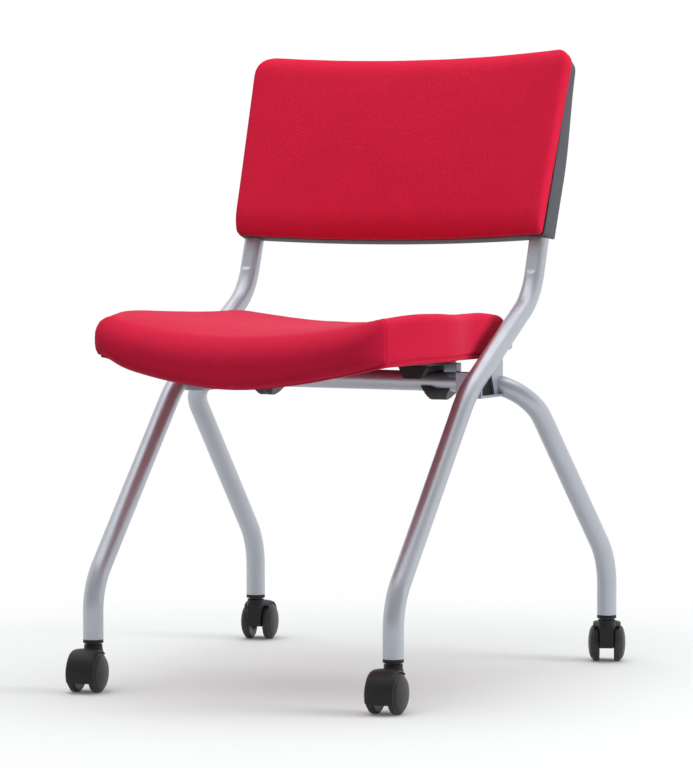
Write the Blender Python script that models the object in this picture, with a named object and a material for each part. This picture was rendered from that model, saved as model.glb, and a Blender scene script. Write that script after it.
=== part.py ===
"""Nesting chair with a flip-up seat and four twin-wheel casters.

Metres, +Z up. The sitter faces -Y, and +X is the sitter's left. The origin lies on the floor,
below the middle of the wheelbase.
"""
import math

import bmesh
import bpy
from mathutils import Matrix, Vector

# Fits: a seated piece keeps GAP to its seat, a turning one keeps RUN_GAP to its pin, and a
# curved pad keeps SOFT_GAP to the board it lies on
GAP = 0.0003
RUN_GAP = 0.0004
SOFT_GAP = 0.0009

# Four corners that span less than this volume count as flat
FLAT_VOLUME = 1e-12

# Round steel tube of the frame
TUBE_R = 0.0127
TUBE_WALL = 0.0018
TUBE_SIDES = 12
BEND_STEPS = 4
BEND_R = 0.085
KNEE_R = 0.15

# Side tube in side view: foot, knee, hip and raked upright
LEG_X = 0.2072
WHEELBASE = 0.5247
LEG_END_Z = 0.0637
FRONT_BEND_Z = 0.129
KNEE_Y, KNEE_Z = -0.0558, 0.3687
HIP_Y, HIP_Z = 0.1371, 0.4821
BACK_RAKE = math.radians(18.56)
FLAT_START = 0.036
FLAT_RUN = 0.012
FLAT_FRONT = 0.0105

# Rear frame: cross tube and both rear legs in one bent tube
BAR_Y, BAR_Z = 0.0397, 0.3772
BAR_CORNER_X = 0.2444
BAR_BEND_R = 0.065
REAR_FOOT_X = 0.2609
REAR_BEND_Z = 0.1366

# Side bracket of folded sheet, placed from the cross tube
SHEET = 0.003
BRACKET_IN_X = 0.1795
BRACKET_OUT_X = 0.2145
BRACKET_FRONT = 0.070
BRACKET_REAR = 0.028
BRACKET_DROP = 0.0005
BRACKET_RISE = 0.0153
GUSSET_FRONT_TOP = 0.034
GUSSET_FRONT_LOW = 0.0165
GUSSET_REAR = 0.0075
INSERT_TOP = 0.0063

# Nesting bumper under the side tube
BUMPER_R = 0.006
BUMPER_H = 0.005
BUMPER_ALONG = 0.131
BUMPER_ROUND = 0.6

# Seat hinge, placed from the cross tube
HINGE_X = 0.1148
HINGE_HALF = 0.0200
HINGE_HALF_LOW = 0.0115
SADDLE_FRONT = 0.061
SADDLE_REAR = 0.026
SADDLE_FOOT = 0.012
SADDLE_ARM = 0.0012
SADDLE_LOW = 0.006
SADDLE_ROOF = 0.0086
CLIP_X = 0.1233
CLIP_HALF = 0.0188
CLIP_WALL = 0.0105
CLIP_START = math.radians(219)
BORE_SIDES = 24
PLATE_FRONT = 0.055
PLATE_REAR = 0.0385
PLATE_T = 0.0025
LIP_HALF = 0.010
LIP_DEPTH = 0.012
LIP_DROP = 0.015
STOP_WIDTH = 0.0148
STOP_FRONT = 0.015
SCREW_R = 0.002
SCREW_HEAD_R = 0.004
SCREW_HEAD_H = 0.003
SCREW_BITE = 0.005
HINGE_SCREW_FRONT = -0.038
HINGE_SCREW_REAR = 0.0195
HEAD_SINK = 0.0015

# Seat outline in plan, and its heights above the floor
SEAT_HALF_FRONT = 0.2135
SEAT_SIDE_GAP = 0.0105
SEAT_BOW_Y = -0.308
SEAT_CORNER_Y = -0.285
SEAT_TAPER_START_Y = -0.062
SEAT_TAPER_END_Y = -0.010
SEAT_REAR_Y = 0.140
SEAT_CORNER_R = 0.060
SEAT_REAR_R = 0.045
SEAT_TAPER_R = 0.075
SEAT_BOW_R = 0.50
SEAT_SPACING = 0.05
PAN_T = 0.009
PAN_INSET = 0.014
PAN_INSET_FRONT = 0.046
PAN_CLEAR = 0.0063
SEAT_THICK = 0.052
SEAT_DISH = 0.0128
SEAT_DISH_TOP = 0.0200
SEAT_DISH_FRONT = 0.020
WATERFALL_Y = -0.17
WATERFALL_TOP = 0.016
WATERFALL_UNDER = 0.026
WATERFALL_CORNER = 0.05
SEAT_REAR_DROP = 0.0072
ROLL_SIDE = 0.013
ROLL_FRONT = 0.042
ROLL_FRONT_DROP = 0.030
TUCK_SIDE = 0.003
TUCK_FRONT = 0.035
TUCK_SIDE_H = 0.010
TUCK_FRONT_H = 0.022
PAN_SHARES = (0.35, 0.7)
TOP_SHARES = (0.8, 0.55, 0.28)

# Back, in a frame that runs up the upright: heights from the hip, depths from the tube's axis
SHELL_MARGIN = 0.003
SHELL_LOW = 0.0765
SHELL_HIGH = 0.3165
SHELL_RIM = 0.020
SHELL_WALL = 0.0025
SHELL_BACK_LOW = -0.0160
SHELL_BACK_HIGH = 0.002
SHELL_FLAT_H = 0.085
SHELL_EDGE_R = 0.004
SHELL_EDGE_LOW = 0.022
TUBE_IN_SHELL = 0.075
BACK_HOLLOW = 0.018
BACK_TOP_R = 0.020
BACK_LOW_R = 0.010
BACK_SPACING = 0.05
BACK_RISE = 0.004
CORNER_STEP = math.radians(23)
SHELL_SHARES = (0.75, 0.4)
BOARD_SHARE = 0.5
BOARD_T = 0.005
BOARD_BITE = 0.0035
BOARD_INSET = 0.004
PAD_SIDE_LOW = 0.0123
PAD_SIDE_HIGH = 0.0183
PAD_LOW = 0.0765
PAD_HIGH = 0.3175
PAD_T = 0.024
PAD_CROWN = 0.005
PAD_ROLL = 0.009
PAD_REAR_ROLL = 0.007
PAD_SHARES = (0.82, 0.55, 0.28)
BACK_SCREW_HEIGHTS = (0.034, 0.062)

# Twin-wheel caster, in a frame on its swivel axis with the wheels trailing along +X
WHEEL_R = 0.025
WHEEL_W = 0.0153
WHEEL_SIDES = 20
WHEEL_SPACE = 0.0095
WHEEL_HOLE = 0.011
TREAD_W = 0.0085
TREAD_EDGE = 0.0014
WHEEL_DOME_SHARES = (1, 0.92, 0.68, 0)
AXLE_R = 0.003
TRAIL = 0.0205
HOOD_CLEAR = 0.0012
HOOD_T = 0.0018
HOOD_HALF = 0.0180
HOOD_LOW = math.radians(-22)
HOOD_END = math.radians(125)
WEB_END = math.radians(105)
HOOD_STEPS = 9
WEB_HALF = 0.0088
WEB_RISE = 0.0045
BOSS_R = 0.0105
COLLAR_R = 0.0115
COLLAR_H = 0.0082
COLLAR_EDGE = 0.001
COLLAR_SIDES = 20
RING_H = 0.0045
RING_GAP = 0.0016
PLUG_H = 0.028
STEM_R = 0.0055
STEM_LOW = 0.030
STEM_TIP = 0.0016
PIN_SIDES = 12

# Casters: name, side, leg end and the direction the wheels trail in, from +X
CASTERS = (
    ("front_left", 1, "front", math.radians(-86)),
    ("front_right", -1, "front", math.radians(-81)),
    ("rear_left", 1, "rear", math.radians(112)),
    ("rear_right", -1, "rear", math.radians(102)),
)
SIDES = (("left", 1), ("right", -1))

# Colours as linear RGB, with metallic and roughness
FINISHES = {
    "silver": ((0.52, 0.54, 0.57, 1), 0.9, 0.35),
    "steel": ((0.16, 0.17, 0.19, 1), 0.8, 0.45),
    "black": ((0.025, 0.025, 0.028, 1), 0.0, 0.45),
    "shell": ((0.12, 0.12, 0.13, 1), 0.0, 0.5),
    "fabric": ((0.50, 0.015, 0.045, 1), 0.0, 0.9),
    "wood": ((0.45, 0.30, 0.16, 1), 0.0, 0.7),
    "bumper": ((0.60, 0.60, 0.62, 1), 0.0, 0.5),
}

# Places that follow from the sizes above
FRONT_Y = -WHEELBASE / 2
REAR_Y = WHEELBASE / 2
AXLE_Z = WHEEL_R * math.cos(math.pi / WHEEL_SIDES)
UP = Vector((0, math.sin(BACK_RAKE), math.cos(BACK_RAKE)))
FORWARD = Vector((0, -math.cos(BACK_RAKE), math.sin(BACK_RAKE)))
HIP = Vector((0, HIP_Y, HIP_Z))
PIVOT = Vector((0, BAR_Y, BAR_Z))
SADDLE_TOP_Z = BAR_Z + TUBE_R + SADDLE_ROOF
PLATE_LOW_Z = SADDLE_TOP_Z + GAP
BOSS_LOW_Z = PLATE_LOW_Z + PLATE_T + GAP
SEAT_UNDER_Z = BAR_Z + TUBE_R + PAN_CLEAR
SEAT_HALF_REAR = LEG_X - TUBE_R - SEAT_SIDE_GAP
PAD_HALF_LOW = LEG_X + PAD_SIDE_LOW
PAD_HALF_HIGH = LEG_X + PAD_SIDE_HIGH
STOP_IN_X = HINGE_X + HINGE_HALF + 2 * RUN_GAP
STOP_OUT_X = STOP_IN_X + STOP_WIDTH
COLLAR_TOP = LEG_END_Z - GAP - RING_H - RING_GAP


def remove_all():
    for obj in list(bpy.data.objects):
        bpy.data.objects.remove(obj, do_unlink=True)


def material(name, finish):
    color, metallic, roughness = FINISHES[finish]
    made = bpy.data.materials.new(name)
    made.use_nodes = True
    shader = made.node_tree.nodes["Principled BSDF"]
    shader.inputs["Base Color"].default_value = color
    shader.inputs["Metallic"].default_value = metallic
    shader.inputs["Roughness"].default_value = roughness
    return made


def link(name, mesh):
    obj = bpy.data.objects.new(name, mesh)
    bpy.context.collection.objects.link(obj)
    return obj


def mesh_of(name, shape):
    mesh = bpy.data.meshes.new(name)
    shape.to_mesh(mesh)
    shape.free()
    mesh.shade_smooth()
    mesh.set_sharp_from_angle(angle=math.radians(35))
    return mesh


def add_piece(name, shape, finish, parent=None):
    """An object from world coordinates, with its origin on its parent's when it has one."""
    mesh = mesh_of(name, shape)
    mesh.materials.append(material(name, finish))
    obj = link(name, mesh)
    if parent:
        mesh.transform(Matrix.Translation(-parent.location))
        obj.parent = parent
    return obj


def add_empty(name, location, turn=0.0):
    empty = link(name, None)
    empty.location = location
    empty.rotation_euler = (0, 0, turn)
    return empty


def add_cutter(name, shape):
    cutter = link(name, mesh_of(name, shape))
    cutter.hide_render = True
    cutter.display_type = "WIRE"
    return cutter


def combine(obj, operation, *others):
    for other in others:
        step = obj.modifiers.new(other.name, "BOOLEAN")
        step.operation = operation
        step.object = other
        step.solver = "EXACT"


def add_face(shape, corners):
    """A face; one with four corners that don't lie flat is split along its shorter diagonal."""
    if len(corners) == 4:
        a, b, c, d = (corner.co for corner in corners)
        if abs((b - a).cross(c - a).dot(d - a)) > FLAT_VOLUME:
            turn = 0 if (a - c).length <= (b - d).length else 1
            corners = corners[turn:] + corners[:turn]
            shape.faces.new(corners[:3])
            corners = corners[2:] + corners[:1]
    shape.faces.new(corners)


def loft(rings, closed=False):
    """Faces between neighbouring rings; a ring of one point closes an end as a fan."""
    shape = bmesh.new()
    loops = [[shape.verts.new(point) for point in ring] for ring in rings]
    pairs = list(zip(loops, loops[1:]))
    if closed:
        pairs.append((loops[-1], loops[0]))
    for low, high in pairs:
        for i in range(max(len(low), len(high))):
            near = (low[i % len(low)], low[(i + 1) % len(low)])
            far = (high[(i + 1) % len(high)], high[i % len(high)])
            add_face(shape, list(dict.fromkeys(near + far)))
    bmesh.ops.recalc_face_normals(shape, faces=shape.faces)
    return shape


def prism(outline, low, high, axis):
    """An outline in the two other coordinates, extruded along one axis."""
    shape = bmesh.new()
    corners = []
    for point in outline:
        place = list(point)
        place.insert(axis, low)
        corners.append(shape.verts.new(place))
    face = shape.faces.new(corners)
    grown = bmesh.ops.extrude_face_region(shape, geom=[face])
    along = Vector((0, 0, 0))
    along[axis] = high - low
    tops = [part for part in grown["geom"] if isinstance(part, bmesh.types.BMVert)]
    bmesh.ops.translate(shape, verts=tops, vec=along)
    bmesh.ops.recalc_face_normals(shape, faces=shape.faces)
    return shape


def box(low, high):
    (x0, y0, z0), (x1, y1, z1) = low, high
    return prism([(x0, y0), (x1, y0), (x1, y1), (x0, y1)], z0, z1, 2)


def lathe(profile, sides, closed=False, start=0.0):
    """A profile of (radius, height) points, turned round Z."""
    rings = []
    for radius, height in profile:
        if radius == 0:
            rings.append([Vector((0, 0, height))])
            continue
        angles = [start + 2 * math.pi * i / sides for i in range(sides)]
        rings.append([Vector((radius * math.cos(a), radius * math.sin(a), height)) for a in angles])
    return loft(rings, closed)


def moved(shape, matrix):
    bmesh.ops.transform(shape, matrix=matrix, verts=shape.verts)
    bmesh.ops.recalc_face_normals(shape, faces=shape.faces)
    return shape


def arc(centre, radius, start, end, steps):
    angles = [start + (end - start) * i / steps for i in range(steps + 1)]
    return [(centre[0] + radius * math.cos(a), centre[1] + radius * math.sin(a)) for a in angles]


def around(radius, sides=PIN_SIDES):
    """Corner radius of a polygon whose flats lie at the given radius."""
    return radius / math.cos(math.pi / sides)


def rounded_corner(before, corner, after, radius, steps):
    """Stations (point, direction) along the arc that rounds one corner of a path."""
    back = (before - corner).normalized()
    ahead = (after - corner).normalized()
    half = back.angle(ahead) / 2
    reach = radius / math.tan(half)
    centre = corner + (back + ahead).normalized() * (radius / math.sin(half))
    start = corner + back * reach - centre
    end = corner + ahead * reach - centre
    axis = start.cross(end).normalized()
    stations = []
    for step in range(steps + 1):
        turn = Matrix.Rotation(start.angle(end) * step / steps, 3, axis)
        spoke = turn @ start
        stations.append((centre + spoke, axis.cross(spoke).normalized()))
    return stations


def rounded_path(points, radii, steps=BEND_STEPS):
    stations = [(points[0], (points[1] - points[0]).normalized())]
    for before, corner, after, radius in zip(points, points[1:], points[2:], radii):
        stations += rounded_corner(before, corner, after, radius, steps)
    stations.append((points[-1], (points[-1] - points[-2]).normalized()))
    return stations


def rounded_outline(corners, radii, spacing):
    """Points round a closed plan outline: close in its corners, spaced along its sides."""
    corners = [Vector((x, y, 0)) for x, y in corners]
    arcs = []
    for i, radius in enumerate(radii):
        before = corners[i - 1]
        after = corners[(i + 1) % len(corners)]
        turn = (corners[i] - before).angle(after - corners[i])
        stations = rounded_corner(before, corners[i], after, radius, math.ceil(turn / CORNER_STEP))
        arcs.append([point for point, _ in stations])
    points = []
    for bend, following in zip(arcs, arcs[1:] + arcs[:1]):
        start = bend[-1]
        end = following[0]
        count = max(round((end - start).length / spacing), 1)
        points += bend + [start.lerp(end, k / count) for k in range(1, count)]
    return points


def outward(points):
    """Unit normals of an outline that runs anticlockwise."""
    normals = []
    for i in range(len(points)):
        along = points[(i + 1) % len(points)] - points[i - 1]
        normals.append(Vector((along.y, -along.x, 0)).normalized())
    return normals


def smooth(value):
    value = min(max(value, 0.0), 1.0)
    return value * value * (3 - 2 * value)


def quarter(steps):
    """Shares (inset, drop) along a quarter round, from its foot to its top."""
    angles = [math.pi / 2 * i / steps for i in range(steps + 1)]
    return [(1 - math.cos(a), 1 - math.sin(a)) for a in angles]


def tube_rings(stations, radius, across, fronts=None):
    """Round sections along a path; fronts gives how far each one reaches to the front."""
    rings = []
    across = Vector(across)
    for index, (point, direction) in enumerate(stations):
        across = (across - direction * across.dot(direction)).normalized()
        rear = direction.cross(across)
        ring = []
        for i in range(TUBE_SIDES):
            angle = 2 * math.pi * (i + 0.5) / TUBE_SIDES
            depth = radius * math.sin(angle)
            if fronts:
                depth = max(depth, -min(fronts[index], radius))
            ring.append(point + across * radius * math.cos(angle) + rear * depth)
        rings.append(ring)
    return rings


def solid_tube(stations, radius, across, fronts=None):
    rings = tube_rings(stations, radius, across, fronts)
    return loft([[stations[0][0]]] + rings + [[stations[-1][0]]])


def hollow_tube(stations, across, fronts=None):
    inner_fronts = [front - TUBE_WALL for front in fronts] if fronts else None
    outer = tube_rings(stations, TUBE_R, across, fronts)
    inner = tube_rings(stations, TUBE_R - TUBE_WALL, across, inner_fronts)
    return loft(outer + inner[::-1], closed=True)


def back_point(x, height, depth):
    """A point of the back: depth is forward of the tube's axis, less the hollow of the back."""
    hollow = BACK_HOLLOW * (1 - min(abs(x) / PAD_HALF_HIGH, 1.0) ** 2)
    return HIP + Vector((x, 0, 0)) + UP * height + FORWARD * (depth - hollow)


def side_tube_path(side):
    x = side * LEG_X
    foot = Vector((x, FRONT_Y, LEG_END_Z))
    bend = Vector((x, FRONT_Y, FRONT_BEND_Z))
    knee = Vector((x, KNEE_Y, KNEE_Z))
    hip = Vector((x, HIP_Y, HIP_Z))
    flat = hip + UP * FLAT_START
    stations = rounded_path([foot, bend, knee, hip, flat], [BEND_R, KNEE_R, BEND_R])
    fronts = [TUBE_R] * len(stations) + [FLAT_FRONT] * 2
    for height in (FLAT_START + FLAT_RUN, SHELL_LOW + TUBE_IN_SHELL):
        stations.append((hip + UP * height, UP))
    return stations, fronts


def rear_frame_path():
    corners = []
    for side in (1, -1):
        half = [
            Vector((side * REAR_FOOT_X, REAR_Y, LEG_END_Z)),
            Vector((side * REAR_FOOT_X, REAR_Y, REAR_BEND_Z)),
            Vector((side * BAR_CORNER_X, BAR_Y, BAR_Z)),
        ]
        corners += half if side == 1 else half[::-1]
    return rounded_path(corners, [BEND_R, BAR_BEND_R, BAR_BEND_R, BEND_R])


def frame_cutters():
    """Tubes a little fatter than the frame's, which give neighbours their gap."""
    cutters = {}
    for label, side in SIDES:
        stations, _ = side_tube_path(side)
        cutters[label] = add_cutter(f"{label}_tube_space", solid_tube(stations, TUBE_R + GAP, (1, 0, 0)))
    cutters["bar"] = add_cutter("bar_space", solid_tube(rear_frame_path(), TUBE_R + GAP, (0, 1, 0)))
    return cutters


def screw_shape(length):
    """A screw along +Z with the underside of its head at zero."""
    return lathe(
        [
            (0, -SCREW_HEAD_H),
            (SCREW_HEAD_R, -SCREW_HEAD_H),
            (SCREW_HEAD_R, 0),
            (SCREW_R, 0),
            (SCREW_R, length),
            (0, length),
        ],
        PIN_SIDES,
    )


def screw_hole(length):
    """Clearance for a screw along +Z, open below its head."""
    wide = around(SCREW_HEAD_R + GAP)
    slim = around(SCREW_R + GAP)
    below = -10 * SCREW_HEAD_H
    return lathe(
        [(0, below), (wide, below), (wide, GAP), (slim, GAP)]
        + [(slim, length + GAP), (0, length + GAP)],
        PIN_SIDES,
    )


def make_frame(cutters):
    add_piece("rear_frame", hollow_tube(rear_frame_path(), (0, 1, 0)), "silver")
    tubes = {}
    for label, side in SIDES:
        stations, fronts = side_tube_path(side)
        tube = hollow_tube(stations, (1, 0, 0), fronts)
        tubes[label] = add_piece(f"{label}_side_tube", tube, "silver")
        make_bracket(label, side, cutters)
        make_bumper(label, side, cutters)
        make_stop(label, side)
    return tubes


def make_bracket(label, side, cutters):
    floor_z = BAR_Z - TUBE_R - BRACKET_DROP
    front = BAR_Y - BRACKET_FRONT
    x_in, x_out = sorted((side * BRACKET_IN_X, side * BRACKET_OUT_X))
    base = box((x_in, front, floor_z - SHEET), (x_out, BAR_Y + BRACKET_REAR, floor_z))
    wall = box((x_in, front, floor_z - SHEET / 2), (x_out, front + SHEET, BAR_Z + BRACKET_RISE))
    top = KNEE_Z + (BAR_Y - KNEE_Y) * (HIP_Z - KNEE_Z) / (HIP_Y - KNEE_Y)
    gusset_outline = [
        (BAR_Y - GUSSET_FRONT_LOW, floor_z - SHEET / 2),
        (BAR_Y + GUSSET_REAR, floor_z - SHEET / 2),
        (BAR_Y + GUSSET_REAR, top),
        (BAR_Y - GUSSET_FRONT_TOP, top - GUSSET_FRONT_TOP / 2),
    ]
    middle = side * LEG_X
    gusset = prism(gusset_outline, middle - SHEET / 2, middle + SHEET / 2, 0)
    bracket = add_piece(f"{label}_bracket", base, "silver")
    parts = [add_cutter(f"{label}_bracket_wall", wall), add_cutter(f"{label}_gusset", gusset)]
    combine(bracket, "UNION", *parts)
    combine(bracket, "DIFFERENCE", cutters[label], cutters["bar"])

    x_low, x_high = sorted((side * (BRACKET_IN_X + SHEET), side * (LEG_X - SHEET / 2 - GAP)))
    low = (x_low, front + SHEET + GAP, floor_z + GAP)
    high = (x_high, BAR_Y - GUSSET_FRONT_LOW, BAR_Z + INSERT_TOP)
    insert = add_piece(f"{label}_bracket_insert", box(low, high), "black")
    combine(insert, "DIFFERENCE", cutters[label], cutters["bar"])


def make_bumper(label, side, cutters):
    knee = Vector((side * LEG_X, KNEE_Y, KNEE_Z))
    along = (Vector((side * LEG_X, HIP_Y, HIP_Z)) - knee).normalized()
    below = Vector((0, along.z, -along.y))
    top = TUBE_R + BUMPER_H
    profile = [(0, 0), (BUMPER_R, 0), (BUMPER_R, TUBE_R + BUMPER_H * BUMPER_ROUND)]
    dome = lathe(profile + [(BUMPER_R * BUMPER_ROUND, top), (0, top)], PIN_SIDES)
    turn = Vector((0, 0, 1)).rotation_difference(below).to_matrix().to_4x4()
    place = Matrix.Translation(knee + along * BUMPER_ALONG)
    bumper = add_piece(f"{label}_nesting_bumper", moved(dome, place @ turn), "bumper")
    combine(bumper, "DIFFERENCE", cutters[label])


def make_stop(label, side):
    """Steel block on top of the cross tube that holds the seat level."""
    x_low, x_high = sorted((side * STOP_IN_X, side * STOP_OUT_X))
    low = BAR_Z + TUBE_R + GAP
    block = box((x_low, BAR_Y - STOP_FRONT, low), (x_high, BAR_Y - GAP, BOSS_LOW_Z - GAP))
    add_piece(f"{label}_seat_stop", block, "steel")


def back_outline(margin, low, high):
    """Outline of the back, wider at the top, with its upper corners drawn up a little."""
    half_low = PAD_HALF_LOW + margin
    half_high = PAD_HALF_HIGH + margin
    corners = [(-half_low, low), (half_low, low), (half_high, high), (-half_high, high)]
    radii = [BACK_LOW_R, BACK_LOW_R, BACK_TOP_R, BACK_TOP_R]
    points = rounded_outline(corners, radii, BACK_SPACING)
    for point in points:
        point.y += BACK_RISE * (point.x / half_high) ** 2 * (point.y - low) / (high - low)
    return points


def back_ring(points, normals, inset, depth):
    """A ring of the back; inset and depth are functions of the share of the lower edge."""
    ring = []
    for point, normal in zip(points, normals):
        lower = smooth(-normal.y)
        place = point - normal * inset(lower)
        ring.append(back_point(place.x, place.y, depth(place.y, lower)))
    return ring


def even_ring(points, normals, inset, depth):
    return back_ring(points, normals, lambda lower: inset, lambda height, lower: depth)


def scaled_ring(points, share, centre_height, depth):
    ring = []
    for point in points:
        height = centre_height + (point.y - centre_height) * share
        ring.append(back_point(point.x * share, height, depth(point.x * share, height)))
    return ring


def shell_back(height):
    """Depth of the shell's rear face: flat round the tubes, then thinner to the top."""
    share = smooth((height - SHELL_LOW - SHELL_FLAT_H) / (SHELL_HIGH - SHELL_LOW - SHELL_FLAT_H))
    return SHELL_BACK_LOW + (SHELL_BACK_HIGH - SHELL_BACK_LOW) * share


def shell_edge(lower):
    """Radius of the shell's rear edge, larger along the bottom."""
    return SHELL_EDGE_R + (SHELL_EDGE_LOW - SHELL_EDGE_R) * lower


def make_back(cutters, tubes):
    middle = (SHELL_LOW + SHELL_HIGH) / 2
    points = back_outline(SHELL_MARGIN, SHELL_LOW, SHELL_HIGH)
    normals = outward(points)

    def outer_depth(x, height):
        return shell_back(height)

    def inner_depth(x, height):
        return shell_back(height) + SHELL_WALL

    def face(depth):
        return [scaled_ring(points, share, middle, depth) for share in SHELL_SHARES]

    def edge_ring(inset, drop):
        return back_ring(
            points,
            normals,
            lambda lower: shell_edge(lower) * inset,
            lambda height, lower: shell_back(height) + shell_edge(lower) * drop,
        )

    outer = [even_ring(points, normals, 0, SHELL_RIM)]
    outer += [edge_ring(inset, drop) for inset, drop in quarter(2)]
    inner = [
        even_ring(points, normals, SHELL_WALL, SHELL_RIM),
        back_ring(points, normals, lambda low: SHELL_WALL, lambda h, low: shell_back(h) + shell_edge(low)),
        back_ring(points, normals, shell_edge, lambda h, low: shell_back(h) + SHELL_WALL),
    ]
    rings = [[back_point(0, middle, inner_depth(0, middle))]]
    rings += face(inner_depth)[::-1] + inner[::-1] + outer + face(outer_depth)
    rings.append([back_point(0, middle, outer_depth(0, middle))])
    shell = add_piece("back_shell", loft(rings), "shell")
    combine(shell, "DIFFERENCE", cutters["left"], cutters["right"])

    board = make_board(points, normals, middle)
    make_pad()
    make_back_screws(shell, board, tubes)


def make_board(points, normals, middle):
    inset = SHELL_WALL + BOARD_INSET
    front = SHELL_RIM - GAP
    rear = front - BOARD_T
    rings = [[back_point(0, middle, rear)]]
    rings.append(scaled_ring(points, BOARD_SHARE, middle, lambda x, h: rear))
    rings.append(even_ring(points, normals, inset, rear))
    rings.append(even_ring(points, normals, inset, front))
    rings.append(scaled_ring(points, BOARD_SHARE, middle, lambda x, h: front))
    rings.append([back_point(0, middle, front)])
    return add_piece("back_board", loft(rings), "wood")


def make_pad():
    """Upholstered pad: flat behind, rolled edges and a crowned front."""
    points = back_outline(0, PAD_LOW, PAD_HIGH)
    normals = outward(points)
    middle = (PAD_LOW + PAD_HIGH) / 2
    rear = SHELL_RIM + SOFT_GAP
    front = rear + PAD_T
    half_height = (PAD_HIGH - PAD_LOW) / 2

    def crowned(x, height):
        across = 1 - (x / PAD_HALF_HIGH) ** 2
        upward = 1 - ((height - middle) / half_height) ** 2
        return front + PAD_CROWN * across * upward

    rings = [[back_point(0, middle, rear)]]
    rings.append(scaled_ring(points, BOARD_SHARE, middle, lambda x, h: rear))
    rings.append(even_ring(points, normals, PAD_REAR_ROLL, rear))
    rings.append(even_ring(points, normals, 0, rear + PAD_REAR_ROLL))
    for inset, drop in quarter(2):
        rings.append(even_ring(points, normals, PAD_ROLL * inset, front - PAD_ROLL * drop))
    rings += [scaled_ring(points, share, middle, crowned) for share in PAD_SHARES]
    rings.append([back_point(0, middle, crowned(0, middle))])
    add_piece("back_pad", loft(rings), "fabric")


def make_back_screws(shell, board, tubes):
    turn = Vector((0, 0, 1)).rotation_difference(FORWARD).to_matrix().to_4x4()
    for label, side in SIDES:
        for row, height in zip(("lower", "upper"), BACK_SCREW_HEIGHTS):
            x = side * LEG_X
            seat = back_point(x, SHELL_LOW + height, SHELL_BACK_LOW) - FORWARD * GAP
            tip = back_point(x, SHELL_LOW + height, SHELL_RIM - GAP - BOARD_T) + FORWARD * BOARD_BITE
            length = (tip - seat).length
            place = Matrix.Translation(seat) @ turn
            name = f"{label}_back_screw_{row}"
            add_piece(name, moved(screw_shape(length), place), "steel")
            hole = add_cutter(f"{name}_hole", moved(screw_hole(length), place))
            combine(shell, "DIFFERENCE", hole)
            combine(board, "DIFFERENCE", hole)
            combine(tubes[label], "DIFFERENCE", hole)


def seat_outline():
    half = [
        (0, SEAT_BOW_Y, SEAT_BOW_R),
        (SEAT_HALF_FRONT, SEAT_CORNER_Y, SEAT_CORNER_R),
        (SEAT_HALF_FRONT, SEAT_TAPER_START_Y, SEAT_TAPER_R),
        (SEAT_HALF_REAR, SEAT_TAPER_END_Y, SEAT_TAPER_R),
        (SEAT_HALF_REAR, SEAT_REAR_Y, SEAT_REAR_R),
    ]
    corners = half + [(-x, y, radius) for x, y, radius in half[:0:-1]]
    return rounded_outline([(x, y) for x, y, _ in corners], [c[2] for c in corners], SEAT_SPACING)


def waterfall(y):
    """Share of the front's fall: 0 over the seat, 1 at its front edge."""
    return max((WATERFALL_Y - y) / (WATERFALL_Y - SEAT_BOW_Y), 0.0) ** 2


def dish(depth, x, y):
    """Rise of the seat towards its sides, stronger at the front."""
    return (depth - SEAT_DISH_FRONT * y) * (x / SEAT_HALF_FRONT) ** 2


def seat_under(x, y):
    across = (x / SEAT_HALF_FRONT) ** 2
    return SEAT_UNDER_Z + dish(SEAT_DISH, x, y) - WATERFALL_UNDER * waterfall(y) * (1 - across)


def seat_top(x, y):
    across = (x / SEAT_HALF_FRONT) ** 2
    rear = SEAT_REAR_DROP * smooth((y - BAR_Y) / (SEAT_REAR_Y - BAR_Y))
    front = WATERFALL_TOP * waterfall(y) * (1 - (1 - WATERFALL_CORNER) * across)
    return SEAT_UNDER_Z + SEAT_THICK + dish(SEAT_DISH_TOP, x, y) - rear - front


def pan_top(x, y):
    return seat_under(x, y) + PAN_T


def blend(side, front):
    """A size that runs from its value at the sides to its value at the front."""
    return lambda share: side + (front - side) * share


def seat_ring(points, normals, inset, height):
    """A ring of the seat; inset and height are functions of the front share and the place."""
    ring = []
    for point, normal in zip(points, normals):
        front = smooth(-normal.y)
        place = point - normal * inset(front)
        ring.append(Vector((place.x, place.y, height(front, place.x, place.y))))
    return ring


def inner_ring(ring, share, height):
    centre = sum(ring, Vector()) / len(ring)
    points = [centre.lerp(point, share) for point in ring]
    return [Vector((p.x, p.y, height(p.x, p.y))) for p in points]


def make_seat(pivot):
    points = seat_outline()
    normals = outward(points)
    inset = blend(PAN_INSET + GAP, PAN_INSET_FRONT + GAP)
    rim = seat_ring(points, normals, inset, lambda front, x, y: seat_under(x, y))
    rim_top = [Vector((p.x, p.y, pan_top(p.x, p.y))) for p in rim]
    rings = [inner_ring(rim, 0, seat_under)[:1]]
    rings += [inner_ring(rim, share, seat_under) for share in PAN_SHARES]
    rings += [rim, rim_top]
    rings += [inner_ring(rim, share, pan_top) for share in PAN_SHARES[::-1]]
    rings.append(inner_ring(rim, 0, pan_top)[:1])
    pan = add_piece("seat_pan", loft(rings), "black", pivot)
    front = BAR_Y - SADDLE_FRONT - SHEET
    rear = BAR_Y + PLATE_REAR + SHEET
    for label, side in SIDES:
        x_low, x_high = sorted((side * (HINGE_X - HINGE_HALF - SHEET), side * (STOP_OUT_X + SHEET)))
        boss = box((x_low, front, BOSS_LOW_Z), (x_high, rear, BOSS_LOW_Z + PAN_T / 2))
        space = box((x_low, front, BOSS_LOW_Z - PAN_T), (x_high, rear, BOSS_LOW_Z))
        combine(pan, "UNION", add_cutter(f"{label}_pan_boss", boss))
        combine(pan, "DIFFERENCE", add_cutter(f"{label}_pan_seat", space))
    make_cushion(points, normals, pivot)
    return pan


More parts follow.
